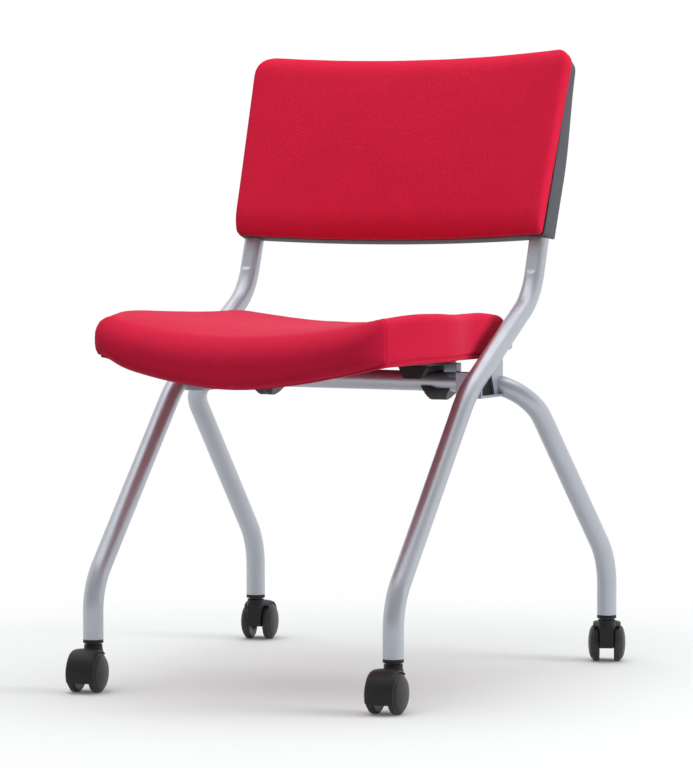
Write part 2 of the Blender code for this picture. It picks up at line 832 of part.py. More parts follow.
def make_cushion(points, normals, pivot):
    """Seat cushion: boxed sides, a front that rolls over, and a recess that takes the pan."""
    roll = blend(ROLL_SIDE, ROLL_FRONT)
    roll_drop = blend(ROLL_SIDE, ROLL_FRONT_DROP)
    tuck = blend(TUCK_SIDE, TUCK_FRONT)
    tuck_height = blend(TUCK_SIDE_H, TUCK_FRONT_H)

    def roof(x, y):
        return pan_top(x, y) + SOFT_GAP

    def lower_ring(inset, rise):
        return seat_ring(
            points,
            normals,
            lambda front: tuck(front) * inset,
            lambda front, x, y: seat_under(x, y) + tuck_height(front) * rise,
        )

    def upper_ring(inset, drop):
        return seat_ring(
            points,
            normals,
            lambda front: roll(front) * inset,
            lambda front, x, y: seat_top(x, y) - roll_drop(front) * drop,
        )

    inset = blend(PAN_INSET, PAN_INSET_FRONT)
    recess = seat_ring(points, normals, inset, lambda front, x, y: seat_under(x, y))
    rings = [inner_ring(recess, 0, roof)[:1]]
    rings += [inner_ring(recess, share, roof) for share in PAN_SHARES]
    rings.append([Vector((p.x, p.y, roof(p.x, p.y))) for p in recess])
    rings.append(recess)
    rings += [lower_ring(inset, rise) for inset, rise in quarter(2)[::-1]]
    rings += [upper_ring(inset, drop) for inset, drop in quarter(3)]
    rim = rings[-1]
    rings += [inner_ring(rim, share, seat_top) for share in TOP_SHARES]
    rings.append(inner_ring(rim, 0, seat_top)[:1])
    add_piece("seat_cushion", loft(rings), "fabric", pivot)


def hinge_section(middle, half, low, high):
    """Width of the saddle or the clip: wide at the top, narrower below."""
    return [
        (middle - HINGE_HALF_LOW, low),
        (middle + HINGE_HALF_LOW, low),
        (middle + half, high),
        (middle - half, high),
    ]


def clip_outline():
    """Clip round the lower half of the cross tube, up to the saddle behind it."""
    inner = around(TUBE_R + RUN_GAP, BORE_SIDES)
    outer = inner + CLIP_WALL
    arm_top = SADDLE_LOW - GAP
    rear = BAR_Y + SADDLE_REAR
    steps = BORE_SIDES // 2
    outline = arc((BAR_Y, BAR_Z), outer, CLIP_START, 2 * math.pi, steps)
    outline += [(rear, BAR_Z), (rear, BAR_Z + arm_top)]
    end = CLIP_START - 2 * math.pi
    return outline + arc((BAR_Y, BAR_Z), inner, math.asin(arm_top / inner), end, steps)


def make_hinge(label, side, pan, pivot):
    middle = side * HINGE_X
    low = BAR_Z + SADDLE_LOW
    section = hinge_section(middle, HINGE_HALF, low, SADDLE_TOP_Z)
    saddle_shape = prism(section, BAR_Y - SADDLE_FRONT, BAR_Y + SADDLE_REAR, 1)
    saddle = add_piece(f"{label}_hinge_saddle", saddle_shape, "black", pivot)
    bore_r = around(TUBE_R + RUN_GAP, BORE_SIDES)
    journal = arc((BAR_Y, BAR_Z), bore_r, 0, 2 * math.pi, BORE_SIDES)[:-1]
    bore = prism(journal, middle - 2 * HINGE_HALF, middle + 2 * HINGE_HALF, 0)
    arm_low = BAR_Z + TUBE_R + SADDLE_ARM
    foot_rear = BAR_Y - SADDLE_FRONT + SADDLE_FOOT
    x_low, x_high = middle - HINGE_HALF, middle + HINGE_HALF
    arm_space = box((x_low - HINGE_HALF, foot_rear, BAR_Z), (x_high + HINGE_HALF, BAR_Y, arm_low))
    combine(saddle, "DIFFERENCE", add_cutter(f"{label}_hinge_bore", bore))
    combine(saddle, "DIFFERENCE", add_cutter(f"{label}_arm_space", arm_space))

    clip_middle = side * CLIP_X
    clip_shape = prism(clip_outline(), clip_middle - CLIP_HALF, clip_middle + CLIP_HALF, 0)
    clip = add_piece(f"{label}_hinge_clip", clip_shape, "black", pivot)
    reach = TUBE_R + CLIP_WALL
    taper = hinge_section(clip_middle, CLIP_HALF, BAR_Z - reach, BAR_Z + SADDLE_LOW)
    taper_shape = prism(taper, BAR_Y - 2 * reach, BAR_Y + 2 * reach, 1)
    combine(clip, "INTERSECT", add_cutter(f"{label}_clip_taper", taper_shape))

    plate_rear = BAR_Y + PLATE_REAR
    plate_top = PLATE_LOW_Z + PLATE_T
    sheet = box((x_low, BAR_Y - PLATE_FRONT, PLATE_LOW_Z), (x_high, plate_rear, plate_top))
    plate = add_piece(f"{label}_hinge_plate", sheet, "steel", pivot)
    lip_low = (middle - LIP_HALF, plate_rear - LIP_DEPTH, PLATE_LOW_Z - LIP_DROP)
    lip_high = (middle + LIP_HALF, plate_rear, PLATE_LOW_Z + PLATE_T / 2)
    combine(plate, "UNION", add_cutter(f"{label}_plate_lip", box(lip_low, lip_high)))

    tip = BOSS_LOW_Z + SCREW_BITE
    heads = (("front", HINGE_SCREW_FRONT, arm_low - GAP), ("rear", HINGE_SCREW_REAR, BAR_Z - HEAD_SINK))
    for place, offset, head in heads:
        spot = Matrix.Translation((middle, BAR_Y + offset, head))
        name = f"{label}_hinge_screw_{place}"
        add_piece(name, moved(screw_shape(tip - head), spot), "steel", pivot)
        hole = add_cutter(f"{name}_hole", moved(screw_hole(tip - head), spot))
        for piece in (saddle, clip, plate, pan):
            combine(piece, "DIFFERENCE", hole)


def wheel_shape():
    """Domed wheel, turned round Y, with its inner face at zero and a blind axle hole."""
    bore = around(AXLE_R + RUN_GAP, WHEEL_SIDES)
    profile = [(0, WHEEL_HOLE), (bore, WHEEL_HOLE), (bore, 0)]
    profile += [(WHEEL_R - TREAD_EDGE, 0), (WHEEL_R, TREAD_EDGE)]
    dome = WHEEL_W - TREAD_W
    for share in WHEEL_DOME_SHARES:
        profile.append((WHEEL_R * share, TREAD_W + dome * math.sqrt(1 - share * share)))
    start = math.pi / 2 + math.pi / WHEEL_SIDES
    return moved(lathe(profile, WHEEL_SIDES, start=start), Matrix.Rotation(math.radians(-90), 4, "X"))


def pin_along_y(radius, half, sides=PIN_SIDES):
    pin = lathe([(0, -half), (radius, -half), (radius, half), (0, half)], sides)
    return moved(pin, Matrix.Translation((TRAIL, 0, AXLE_Z)) @ Matrix.Rotation(math.pi / 2, 4, "X"))


def caster_body_mesh():
    """Hooded body: a web between the wheels, a hood over them and a collar round the stem."""
    axle = (TRAIL, AXLE_Z)
    hood_in = WHEEL_R + HOOD_CLEAR
    hood_out = hood_in + HOOD_T
    outside = arc(axle, hood_out, HOOD_LOW, HOOD_END, HOOD_STEPS)
    inside = arc(axle, hood_in, HOOD_END, HOOD_LOW, HOOD_STEPS)
    hood = prism(outside + inside, -HOOD_HALF, HOOD_HALF, 1)
    web_edge = arc(axle, (hood_in + hood_out) / 2, HOOD_LOW, WEB_END, HOOD_STEPS)
    low = web_edge[0][1] + WEB_RISE
    collar_low = COLLAR_TOP - COLLAR_H
    boss_side = [(-BOSS_R, collar_low + COLLAR_H / 4), (-BOSS_R, low + BOSS_R), (-BOSS_R / 5, low)]
    web = prism(web_edge + boss_side, -WEB_HALF, WEB_HALF, 1)
    profile = [(0, collar_low), (COLLAR_R, collar_low), (COLLAR_R, COLLAR_TOP - COLLAR_EDGE)]
    collar = lathe(profile + [(COLLAR_R - COLLAR_EDGE, COLLAR_TOP), (0, COLLAR_TOP)], COLLAR_SIDES)
    stem_hole = around(STEM_R + GAP)
    stem_space = lathe([(0, STEM_LOW - GAP), (stem_hole, STEM_LOW - GAP)]
                       + [(stem_hole, LEG_END_Z), (0, LEG_END_Z)], PIN_SIDES)
    body = link("caster_body", mesh_of("caster_body", web))
    parts = [add_cutter("caster_hood", hood), add_cutter("caster_collar", collar)]
    spaces = [
        add_cutter("stem_space", stem_space),
        add_cutter("axle_space", pin_along_y(around(AXLE_R + GAP), 2 * WEB_HALF)),
    ]
    combine(body, "UNION", *parts)
    combine(body, "DIFFERENCE", *spaces)
    depsgraph = bpy.context.evaluated_depsgraph_get()
    shaped = bpy.data.meshes.new_from_object(body.evaluated_get(depsgraph))
    for helper in (body, *parts, *spaces):
        bpy.data.objects.remove(helper, do_unlink=True)
    return shaped


def stem_shape():
    top = LEG_END_Z + PLUG_H - GAP
    profile = [(0, STEM_LOW), (STEM_R, STEM_LOW), (STEM_R, top - STEM_TIP)]
    return lathe(profile + [(STEM_R - STEM_TIP, top), (0, top)], PIN_SIDES)


def socket_shape():
    """Plastic plug in the leg's end, with a ring that covers the cut edge of the tube."""
    bore = around(STEM_R + RUN_GAP)
    plug = (TUBE_R - TUBE_WALL) * math.cos(math.pi / TUBE_SIDES) - GAP
    ring_top = LEG_END_Z - GAP
    ring_low = ring_top - RING_H
    top = LEG_END_Z + PLUG_H
    ring = [(bore, ring_low), (TUBE_R, ring_low), (TUBE_R, ring_top)]
    return lathe(ring + [(plug, ring_top), (plug, top), (bore, top)], PIN_SIDES, closed=True)


def shared_piece(name, mesh, finish, parent, location=(0, 0, 0)):
    """One copy of a repeated piece, with its own material."""
    own = mesh.copy()
    own.materials.clear()
    own.materials.append(material(name, finish))
    obj = link(name, own)
    obj.parent = parent
    obj.location = location
    return obj


def make_casters():
    body = caster_body_mesh()
    stem = mesh_of("stem", stem_shape())
    socket = mesh_of("socket", socket_shape())
    axle_half = WHEEL_SPACE + WHEEL_HOLE - RUN_GAP
    pin = pin_along_y(AXLE_R, axle_half)
    axle = mesh_of("axle", moved(pin, Matrix.Translation((-TRAIL, 0, -AXLE_Z))))
    wheels = {}
    for label, sign in (("outer", 1), ("inner", -1)):
        placed = moved(wheel_shape(), Matrix.Translation((0, WHEEL_SPACE, 0)))
        wheels[label] = mesh_of("wheel", moved(placed, Matrix.Diagonal((1, sign, 1, 1))))
    for name, side, end, turn in CASTERS:
        x = LEG_X if end == "front" else REAR_FOOT_X
        y = FRONT_Y if end == "front" else REAR_Y
        shared_piece(f"{name}_socket", socket, "black", None, (side * x, y, 0))
        swivel = add_empty(f"{name}_swivel", (side * x, y, 0), turn)
        shared_piece(f"{name}_stem", stem, "steel", swivel)
        shared_piece(f"{name}_caster_body", body, "black", swivel)
        shared_piece(f"{name}_axle", axle, "steel", swivel, (TRAIL, 0, AXLE_Z))
        for label, mesh in wheels.items():
            shared_piece(f"{name}_{label}_wheel", mesh, "black", swivel, (TRAIL, 0, AXLE_Z))


def main():
    remove_all()
    cutters = frame_cutters()
    tubes = make_frame(cutters)
    make_back(cutters, tubes)
    pivot = add_empty("seat_pivot", PIVOT)
    pan = make_seat(pivot)
    for label, side in SIDES:
        make_hinge(label, side, pan, pivot)
    make_casters()


main()
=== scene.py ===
"""Looks of a nesting chair with a flip-up seat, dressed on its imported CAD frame.

Metres, +Z up. The sitter faces -Y, and +X is the sitter's left.
"""
import math

import bmesh
import bpy
from mathutils import Matrix, Vector, kdtree, noise


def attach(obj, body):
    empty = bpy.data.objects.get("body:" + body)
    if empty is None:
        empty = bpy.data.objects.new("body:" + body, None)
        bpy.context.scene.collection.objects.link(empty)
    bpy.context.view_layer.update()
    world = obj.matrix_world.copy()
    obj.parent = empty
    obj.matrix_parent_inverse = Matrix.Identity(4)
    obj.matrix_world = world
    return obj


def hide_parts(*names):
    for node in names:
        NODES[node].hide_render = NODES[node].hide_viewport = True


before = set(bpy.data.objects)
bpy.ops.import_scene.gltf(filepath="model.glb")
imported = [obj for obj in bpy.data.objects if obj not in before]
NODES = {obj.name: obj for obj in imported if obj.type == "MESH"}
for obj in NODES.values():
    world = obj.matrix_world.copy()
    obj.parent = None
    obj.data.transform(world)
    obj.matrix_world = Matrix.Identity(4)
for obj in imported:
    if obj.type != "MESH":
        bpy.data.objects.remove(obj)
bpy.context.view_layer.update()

# Sizes in metres: the CAD's own, and those of the finer forms that stand for its solids
TUBE_R = 0.0127
BEND_R = 0.085
KNEE_R = 0.15
LEG_X = 0.2072
FRONT_Y = -0.26235
REAR_Y = 0.26235
LEG_END_Z = 0.0637
FRONT_BEND_Z = 0.129
KNEE = Vector((0, -0.0558, 0.3687))
HIP = Vector((0, 0.1371, 0.4821))
RAKE = math.radians(18.56)
UP = Vector((0, math.sin(RAKE), math.cos(RAKE)))
FORWARD = Vector((0, -math.cos(RAKE), math.sin(RAKE)))
FLAT_START = 0.026
FLAT_RUN = 0.008
FLAT_FRONT = 0.0105
FLAT_RIDGE = 0.05
TUBE_SIDES, SIDE_BEND_STEPS = 48, 36
TUBE_TOP = 0.1515
BAR_Y, BAR_Z = 0.0397, 0.3772
BUMPER_R, BUMPER_H, BUMPER_ALONG = 0.006, 0.005, 0.131
BUMPER_SINK, BUMPER_SOFT, BUMPER_DOME = 0.0018, 0.00225, 0.0003
BAR_CORNER_X = 0.2444
BAR_BEND_R = 0.065
REAR_FOOT_X = 0.2609
REAR_BEND_Z = 0.1366

SEAT_HALF_FRONT = 0.2135
SEAT_HALF_REAR = 0.184
SEAT_BOW_Y = -0.308
SEAT_CORNER_Y = -0.285
SEAT_TAPER_START_Y = -0.145
SEAT_TAPER_END_Y = 0.045
SEAT_REAR_Y = 0.140
SEAT_UNDER_Z = 0.3962
SEAT_THICK = 0.0532
SEAT_CORNER_R, SEAT_BOW_R, SEAT_REAR_R = 0.060, 0.50, 0.045
SEAT_CENTRE = Vector((0, -0.07, 0))
SEAT_DISH = 0.0128
SEAT_DISH_FRONT = 0.020
SEAT_DISH_TOP = 0.0165
SEAT_DISH_RISE, SEAT_DISH_RUN = 0.0072, 0.22
SEAT_REAR_DROP = 0.0072
WATERFALL_Y = -0.17
WATERFALL_TOP = 0.016
WATERFALL_UNDER = 0.026
WATERFALL_CORNER = 0.05
FRONT_CROWN, FRONT_CROWN_WIDTH = 0.0055, 0.10
PAN_T, PAN_ROOF, PAN_SIDE, PAN_EDGE = 0.009, 0.010, 0.0006, 0.003
PAN_INSET, PAN_INSET_FRONT = 0.014, 0.046

SHELL_MARGIN = 0.003
SHELL_LOW, SHELL_HIGH = 0.0755, 0.3165
SHELL_RIM = 0.020
SHELL_WALL = 0.0025
SHELL_BACK_LOW, SHELL_BACK_HIGH = -0.016, 0.002
SHELL_FLAT_H = 0.085
SHELL_GRID, SHELL_SHARES = (0.008, 5), (0.88, 0.75, 0.6, 0.45, 0.3, 0.15)
SHELL_EDGE_R, SHELL_EDGE_LOW = 0.004, 0.022
SHELL_RIM_SOFT = ((0.0008, 0.0), (0.0002, 0.0004), (0.0, 0.0012))
BACK_HOLLOW = 0.018
BACK_TOP_R, BACK_FAR_R, BACK_LOW_R = 0.020, 0.029, 0.0055
BACK_RISE = 0.004
BACK_LEAN = 0.011
BACK_SAG = 0.0018
PAD_HALF_LOW, PAD_HALF_HIGH = 0.2195, 0.2255
PAD_MARGIN, PAD_SPREAD = 0.0008, 0.0022
PAD_LOW, PAD_HIGH = 0.0755, 0.3195
PAD_GAP = 0.0009
PAD_T = 0.024
PAD_CROWN = 0.005
PAD_FALL_SIDE, PAD_FALL_HIGH, PAD_FALL_LOW = (0.024, 0.006), (0.030, 0.010), (0.038, 0.011)
PAD_EDGE_R, PAD_REAR_ROLL = 0.003, 0.002
PAD_COARSE_GRID, PAD_FINE_GRID = (0.014, 15, 2), (0.006, 4, 4)
PAD_FLAT_SHARES, PAD_FACE_ROWS = (0.02, 0.35, 0.7), 27
PAD_COARSE = (1, 0.98, 0.94, 0.88, 0.8, 0.6, 0.4, 0.2)
PAD_EDGE = (1, 0.9995, 0.998, 0.9955, 0.992, 0.986, 0.978, 0.968, 0.957, 0.945, 0.932, 0.918)
PAD_FIRM, PAD_FIRM_RUN = 0.006, 0.010

HINGE_X, HINGE_HALF = 0.1148, 0.0200
PLATE_FRONT, PLATE_REAR, PLATE_T = 0.055, 0.0385, 0.0025
PLATE_Z, PLATE_EDGE = 0.3988, 0.0006
PLATE_FRONT_R, PLATE_REAR_R = 0.004, 0.014
LIP_HALF, LIP_DEPTH, LIP_DROP = 0.010, 0.012, 0.015
LIP_FRONT_R, LIP_REAR_R, LIP_EDGE = 0.003, 0.004, 0.001
CLIP_X, CLIP_HALF, CLIP_HALF_LOW = 0.1240, 0.0205, 0.0100
CLIP_WALL, CLIP_LIP, CLIP_PLAY = 0.0105, 0.0025, 0.0004
CLIP_HIGH, CLIP_LOW = math.radians(204), math.radians(222)
CLIP_SCOOP_START, CLIP_SCOOP_RUN = -0.45, 0.6
CLIP_THICKEN, CLIP_STEPS = math.radians(52), 120
CLIP_FLARE_Z = -0.006
CLIP_REAR, CLIP_ARM_H, CLIP_EDGE = 0.026, 0.0057, 0.0004
RIB_DEPTH, RIB_PITCH = 0.0014, math.radians(9.5)
RIB_END, RIB_FADE = math.radians(278), math.radians(6)
STOP_X, STOP_HALF, STOP_FRONT = 0.14615, 0.00865, 0.0165
STOP_GAP, STOP_R, STOP_EDGE = 0.0002, 0.0012, 0.0008
SCREW_R, SCREW_HEAD_R, SCREW_HEAD_H, SCREW_KEY_R = 0.002, 0.004, 0.003, 0.0014
SCREW_DOME_IN, SCREW_DOME_H, SCREW_KEY_DEPTH, SCREW_SIDES = 0.00195, 0.0024, 0.00165, 36

WHEEL_R = 0.0246922
WHEEL_W = 0.0153
WHEEL_SPACE = 0.0095
TREAD_W = 0.0085
TREAD_IN_R, TREAD_OUT_R = 0.0022, 0.0016
HUB_R, HUB_SINK = 0.0125, 0.0004
WHEEL_RIM_IN, WHEEL_GROOVE, WHEEL_DOME_GAP = 0.0026, 0.0004, 0.0003
TRAIL = 0.0205
AXLE_Z = WHEEL_R
HOOD_CLEAR, HOOD_T, HOOD_HALF = 0.0012, 0.0018, 0.018
HOOD_LOW, HOOD_END = math.radians(-22), math.radians(125)
HOOD_CROWN, HOOD_LIP, HOOD_EDGE, HOOD_SOFT, HOOD_STEPS = 0.0022, 0.0004, 0.0008, 0.0005, 44
WEB_HALF, WEB_RISE, WEB_SOFT, WEB_STEPS = 0.0088, 0.0045, 0.0006, 29
WEB_END, WEB_MIDDLE = math.radians(105), Vector((0.008, 0.032))
BOSS_R = 0.0105
COLLAR_R, COLLAR_H = 0.0115, 0.0082
COLLAR_TOP, COLLAR_SOFT, COLLAR_DISH = 0.0573, 0.0012, 0.0008
STEM_R = 0.0055
RING_H, RING_SOFT = 0.0045, 0.0009
CASTERS = {
    "front_left": (LEG_X, FRONT_Y, math.radians(-86)),
    "front_right": (-LEG_X, FRONT_Y, math.radians(-81)),
    "rear_left": (REAR_FOOT_X, REAR_Y, math.radians(112)),
    "rear_right": (-REAR_FOOT_X, REAR_Y, math.radians(102)),
}
SIDES = (("left", 1), ("right", -1))
UPRIGHT = Vector((0, 0, 1))


# Small helpers

def smooth(value):
    value = min(max(value, 0.0), 1.0)
    return value * value * (3 - 2 * value)


def blend(low, high, share):
    return low + (high - low) * share


def bell(distance, width):
    return math.exp(-(distance / width) ** 2)


def quarter(steps):
    """Shares (inset, drop) along a quarter round, from its foot to its top."""
    angles = [math.pi / 2 * i / steps for i in range(steps + 1)]
    return [(1 - math.cos(a), 1 - math.sin(a)) for a in angles]


def loft(rings):
    """Vertices and faces of a skin over rings; a ring of one point closes it as a fan."""
    verts = []
    starts = []
    for ring in rings:
        starts.append(len(verts))
        verts += [Vector(point) for point in ring]
    faces = []
    for a, b in zip(range(len(rings)), range(1, len(rings))):
        count = max(len(rings[a]), len(rings[b]))
        for i in range(count):
            j = (i + 1) % count
            face = []
            face += [starts[a] + i, starts[a] + j] if len(rings[a]) > 1 else [starts[a]]
            face += [starts[b] + j, starts[b] + i] if len(rings[b]) > 1 else [starts[b]]
            faces.append(face)
    return verts, faces


def lathe(profile, sides):
    rings = []
    for radius, height in profile:
        if radius == 0:
            rings.append([(0, 0, height)])
            continue
        turns = [2 * math.pi * i / sides for i in range(sides)]
        rings.append([(radius * math.cos(t), radius * math.sin(t), height) for t in turns])
    return loft(rings)


def distances(line):
    lengths = [0.0]
    for a, b in zip(line, line[1:]):
        lengths.append(lengths[-1] + (b - a).length)
    return lengths


def joined(*shapes):
    verts = []
    faces = []
    for more_verts, more_faces in shapes:
        faces += [[len(verts) + i for i in face] for face in more_faces]
        verts += more_verts
    return verts, faces


def moved(shape, matrix):
    return [matrix @ Vector(point) for point in shape[0]], shape[1]


def piece(name, shape, material, body, nodes=(), sharp=40):
    """A new object that rides on a body, stands for CAD nodes and takes a finish."""
    mesh = bpy.data.meshes.new(name)
    mesh.from_pydata(shape[0], [], shape[1])
    form = bmesh.new()
    form.from_mesh(mesh)
    bmesh.ops.recalc_face_normals(form, faces=form.faces)
    form.to_mesh(mesh)
    form.free()
    mesh.shade_smooth()
    if sharp:
        mesh.set_sharp_from_angle(angle=math.radians(sharp))
    mesh.materials.append(material)
    obj = bpy.data.objects.new(name, mesh)
    bpy.context.scene.collection.objects.link(obj)
    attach(obj, body)
    if nodes:
        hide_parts(*nodes)
    return obj


def bevel(obj, width):
    modifier = obj.modifiers.new("edge", "BEVEL")
    modifier.width = width
    modifier.segments = 2
    modifier.limit_method = "ANGLE"
    modifier.angle_limit = math.radians(35)
    modifier.harden_normals = False


def rounded_corner(before, corner, after, radius, steps):
    inward = (before - corner).normalized()
    onward = (after - corner).normalized()
    half = inward.angle(onward) / 2
    reach = radius / math.tan(half)
    centre = corner + (inward + onward).normalized() * radius / math.sin(half)
    start = corner + inward * reach - centre
    axis = inward.cross(onward).normalized()
    turn = math.pi - 2 * half
    stations = []
    for i in range(steps + 1):
        rotation = Matrix.Rotation(-turn * i / steps, 3, axis)
        stations.append((centre + rotation @ start, rotation @ -inward))
    return stations


def rounded_path(points, radii, steps=18):
    stations = [(points[0], (points[1] - points[0]).normalized())]
    for i, radius in enumerate(radii, 1):
        stations += rounded_corner(points[i - 1], points[i], points[i + 1], radius, steps)
    stations.append((points[-1], (points[-1] - points[-2]).normalized()))
    return stations


def rounded_outline(corners, spacing):
    """Closed plan outline from (x, y, radius, step in degrees) corners."""
    places = [Vector((x, y, 0)) for x, y, _, _ in corners]
    arcs = []
    for i, (_, _, radius, step) in enumerate(corners):
        before = places[i - 1]
        after = places[(i + 1) % len(places)]
        turn = (places[i] - before).angle(after - places[i])
        steps = max(math.ceil(turn / math.radians(step)), 2)
        arcs.append([p for p, _ in rounded_corner(before, places[i], after, radius, steps)])
    points = []
    for bend, following in zip(arcs, arcs[1:] + arcs[:1]):
        gap = following[0] - bend[-1]
        count = max(round(gap.length / spacing), 1)
        points += bend + [bend[-1] + gap * k / count for k in range(1, count)]
    return points


def outward(points):
    normals = []
    for i in range(len(points)):
        along = points[(i + 1) % len(points)] - points[i - 1]
        normals.append(Vector((along.y, -along.x, 0)).normalized())
    return normals


def tube(stations, radius, across=(1, 0, 0), fronts=None):
    """Swept tube; fronts gives how far each section reaches to the front, with a soft ridge."""
    rings = []
    across = Vector(across)
    for index, (point, direction) in enumerate(stations):
        across = (across - direction * across.dot(direction)).normalized()
        rear = direction.cross(across)
        ring = []
        for i in range(TUBE_SIDES):
            angle = 2 * math.pi * i / TUBE_SIDES
            depth = radius * math.sin(angle)
            if fronts and -depth > fronts[index]:
                depth = -fronts[index] - FLAT_RIDGE * (-depth - fronts[index])
            ring.append(point + across * radius * math.cos(angle) + rear * depth)
        rings.append(ring)
    return loft([[stations[0][0]]] + rings + [[stations[-1][0]]])


# Materials: small node graphs in each piece's own coordinates

def linear(red, green, blue):
    """Linear colour from 0 to 255 display values."""
    shares = [c / 255 for c in (red, green, blue)]
    return tuple(c / 12.92 if c <= 0.04045 else ((c + 0.055) / 1.055) ** 2.4 for c in shares)


class Nodes:
    """A node tree under construction."""

    def __init__(self, owner):
        owner.use_nodes = True
        self.tree = owner.node_tree
        self.tree.nodes.clear()

    def add(self, kind, **settings):
        node = self.tree.nodes.new(kind)
        for key, value in settings.items():
            setattr(node, key, value)
        return node

    def link(self, source, target):
        self.tree.links.new(source, target)

    def feed(self, value, target):
        if isinstance(value, (int, float)):
            target.default_value = value
        elif isinstance(value, (tuple, list)):
            target.default_value = tuple(value) + (1,) * (len(target.default_value) - len(value))
        else:
            self.link(value, target)

    def math(self, operation, *values):
        node = self.add("ShaderNodeMath", operation=operation)
        for value, target in zip(values, node.inputs):
            self.feed(value, target)
        return node.outputs[0]

    def plus(self, total, *values):
        for value in values:
            total = self.math("ADD", total, value)
        return total

    def times(self, first, second):
        return self.math("MULTIPLY", first, second)

    def along(self, place, vector):
        """Distance of a place along a vector."""
        node = self.add("ShaderNodeVectorMath", operation="DOT_PRODUCT")
        self.feed(place, node.inputs[0])
        self.feed(vector, node.inputs[1])
        return node.outputs["Value"]

    def spread(self, value, low, high, to_low, to_high, **settings):
        node = self.add("ShaderNodeMapRange", **settings)
        for target, number in zip(node.inputs, (value, low, high, to_low, to_high)):
            self.feed(number, target)
        return node.outputs["Result"]

    def mix(self, share, first, second):
        node = self.add("ShaderNodeMix", data_type="RGBA")
        self.feed(share, node.inputs["Factor"])
        self.feed(first, node.inputs[6])
        self.feed(second, node.inputs[7])
        return node.outputs[2]


class Graph(Nodes):
    """A node material under construction, in its piece's own coordinates."""

    def __init__(self, name, roughness, **sockets):
        self.material = bpy.data.materials.new(name)
        super().__init__(self.material)
        output = self.add("ShaderNodeOutputMaterial")
        self.shader = self.add("ShaderNodeBsdfPrincipled")
        self.link(self.shader.outputs["BSDF"], output.inputs["Surface"])
        self.set("Roughness", roughness)
        for socket, value in sockets.items():
            self.set(socket.replace("_", " "), value)
        self.coords = self.add("ShaderNodeTexCoord")
        self.place = self.coords.outputs["Object"]

    def set(self, socket, value):
        self.feed(value, self.shader.inputs[socket])

    def noise(self, scale, detail=2.0, roughness=0.5, place=None):
        node = self.add("ShaderNodeTexNoise")
        self.feed(place or self.place, node.inputs["Vector"])
        node.inputs["Scale"].default_value = scale
        node.inputs["Detail"].default_value = detail
        node.inputs["Roughness"].default_value = roughness
        return node.outputs["Fac"]

    def bump(self, height, distance, strength):
        node = self.add("ShaderNodeBump")
        node.inputs["Distance"].default_value = distance
        node.inputs["Strength"].default_value = strength
        self.link(height, node.inputs["Height"])
        self.link(node.outputs["Normal"], self.shader.inputs["Normal"])

    def facing(self):
        """Shares of the three axes in the surface's own normal, sharpened."""
        split = self.add("ShaderNodeSeparateXYZ")
        self.link(self.coords.outputs["Normal"], split.inputs[0])
        raised = [self.math("POWER", self.math("ABSOLUTE", axis), 4) for axis in split.outputs]
        total = self.plus(*raised)
        return [self.math("DIVIDE", share, total) for share in raised]


def toned(colour, share, lift=0.0):
    return [min(c * share + lift, 1) for c in colour]


def fabric(name, colour, pitch):
    """Wool-like twill: diagonal ribs crossed by finer threads, on every face alike."""
    graph = Graph(name, 0.86, Sheen_Weight=0.28, Sheen_Roughness=0.27, Sheen_Tint=linear(255, 150, 172),
                  Specular_IOR_Level=0.08)
    wobble = graph.spread(graph.noise(160), 0, 1, -0.9, 0.9)
    turn = 2 * math.pi / pitch / math.sqrt(2)
    planes = (((0, 1, 1), (0, 1, -1)), ((1, 0, 1), (1, 0, -1)), ((1, 1, 0), (1, -1, 0)))
    parts = []
    for share, (rib, thread) in zip(graph.facing(), planes):
        ribs = graph.math("SINE", graph.plus(graph.times(graph.along(graph.place, rib), turn), wobble))
        threads = graph.math("SINE", graph.times(graph.along(graph.place, thread), turn * 1.7))
        parts.append(graph.times(share, graph.plus(graph.times(ribs, 0.65), graph.times(threads, 0.35))))
    weave = graph.plus(*parts)
    fibre = graph.noise(1500, 3, 0.7)
    cloud = graph.noise(14, 3)
    lift = graph.plus(graph.spread(weave, -1, 1, 0.30, 0.70), graph.spread(fibre, 0.3, 0.7, -0.12, 0.12),
                      graph.spread(cloud, 0.3, 0.7, -0.08, 0.08))
    graph.set("Base Color", graph.mix(lift, toned(colour, 0.86), toned(colour, 1.14)))
    graph.set("Roughness", graph.spread(fibre, 0.2, 0.8, 0.78, 0.94))
    graph.bump(graph.plus(weave, graph.times(fibre, 0.8)), 0.00012, 0.7)
    return graph.material


def satin_metal(name, colour, roughness, metallic, coat=0.0):
    """Silver paint: fine flake, soft orange peel and faint handling marks."""
    graph = Graph(name, roughness, Metallic=metallic, Coat_Weight=coat, Coat_Roughness=0.14)
    flake = graph.noise(2600, 2, 0.6)
    cloud = graph.noise(9, 4, 0.55)
    tone = graph.plus(graph.spread(flake, 0.3, 0.7, 0.4, 0.6), graph.spread(cloud, 0.3, 0.7, -0.15, 0.15))
    graph.set("Base Color", graph.mix(tone, toned(colour, 0.94), toned(colour, 1.06)))
    scuff = graph.spread(graph.noise(30, 4, 0.6), 0.4, 0.8, roughness - 0.03, roughness + 0.07)
    graph.set("Roughness", scuff)
    graph.bump(graph.plus(graph.noise(300), graph.times(flake, 0.1)), 0.00001, 0.22)
    return graph.material


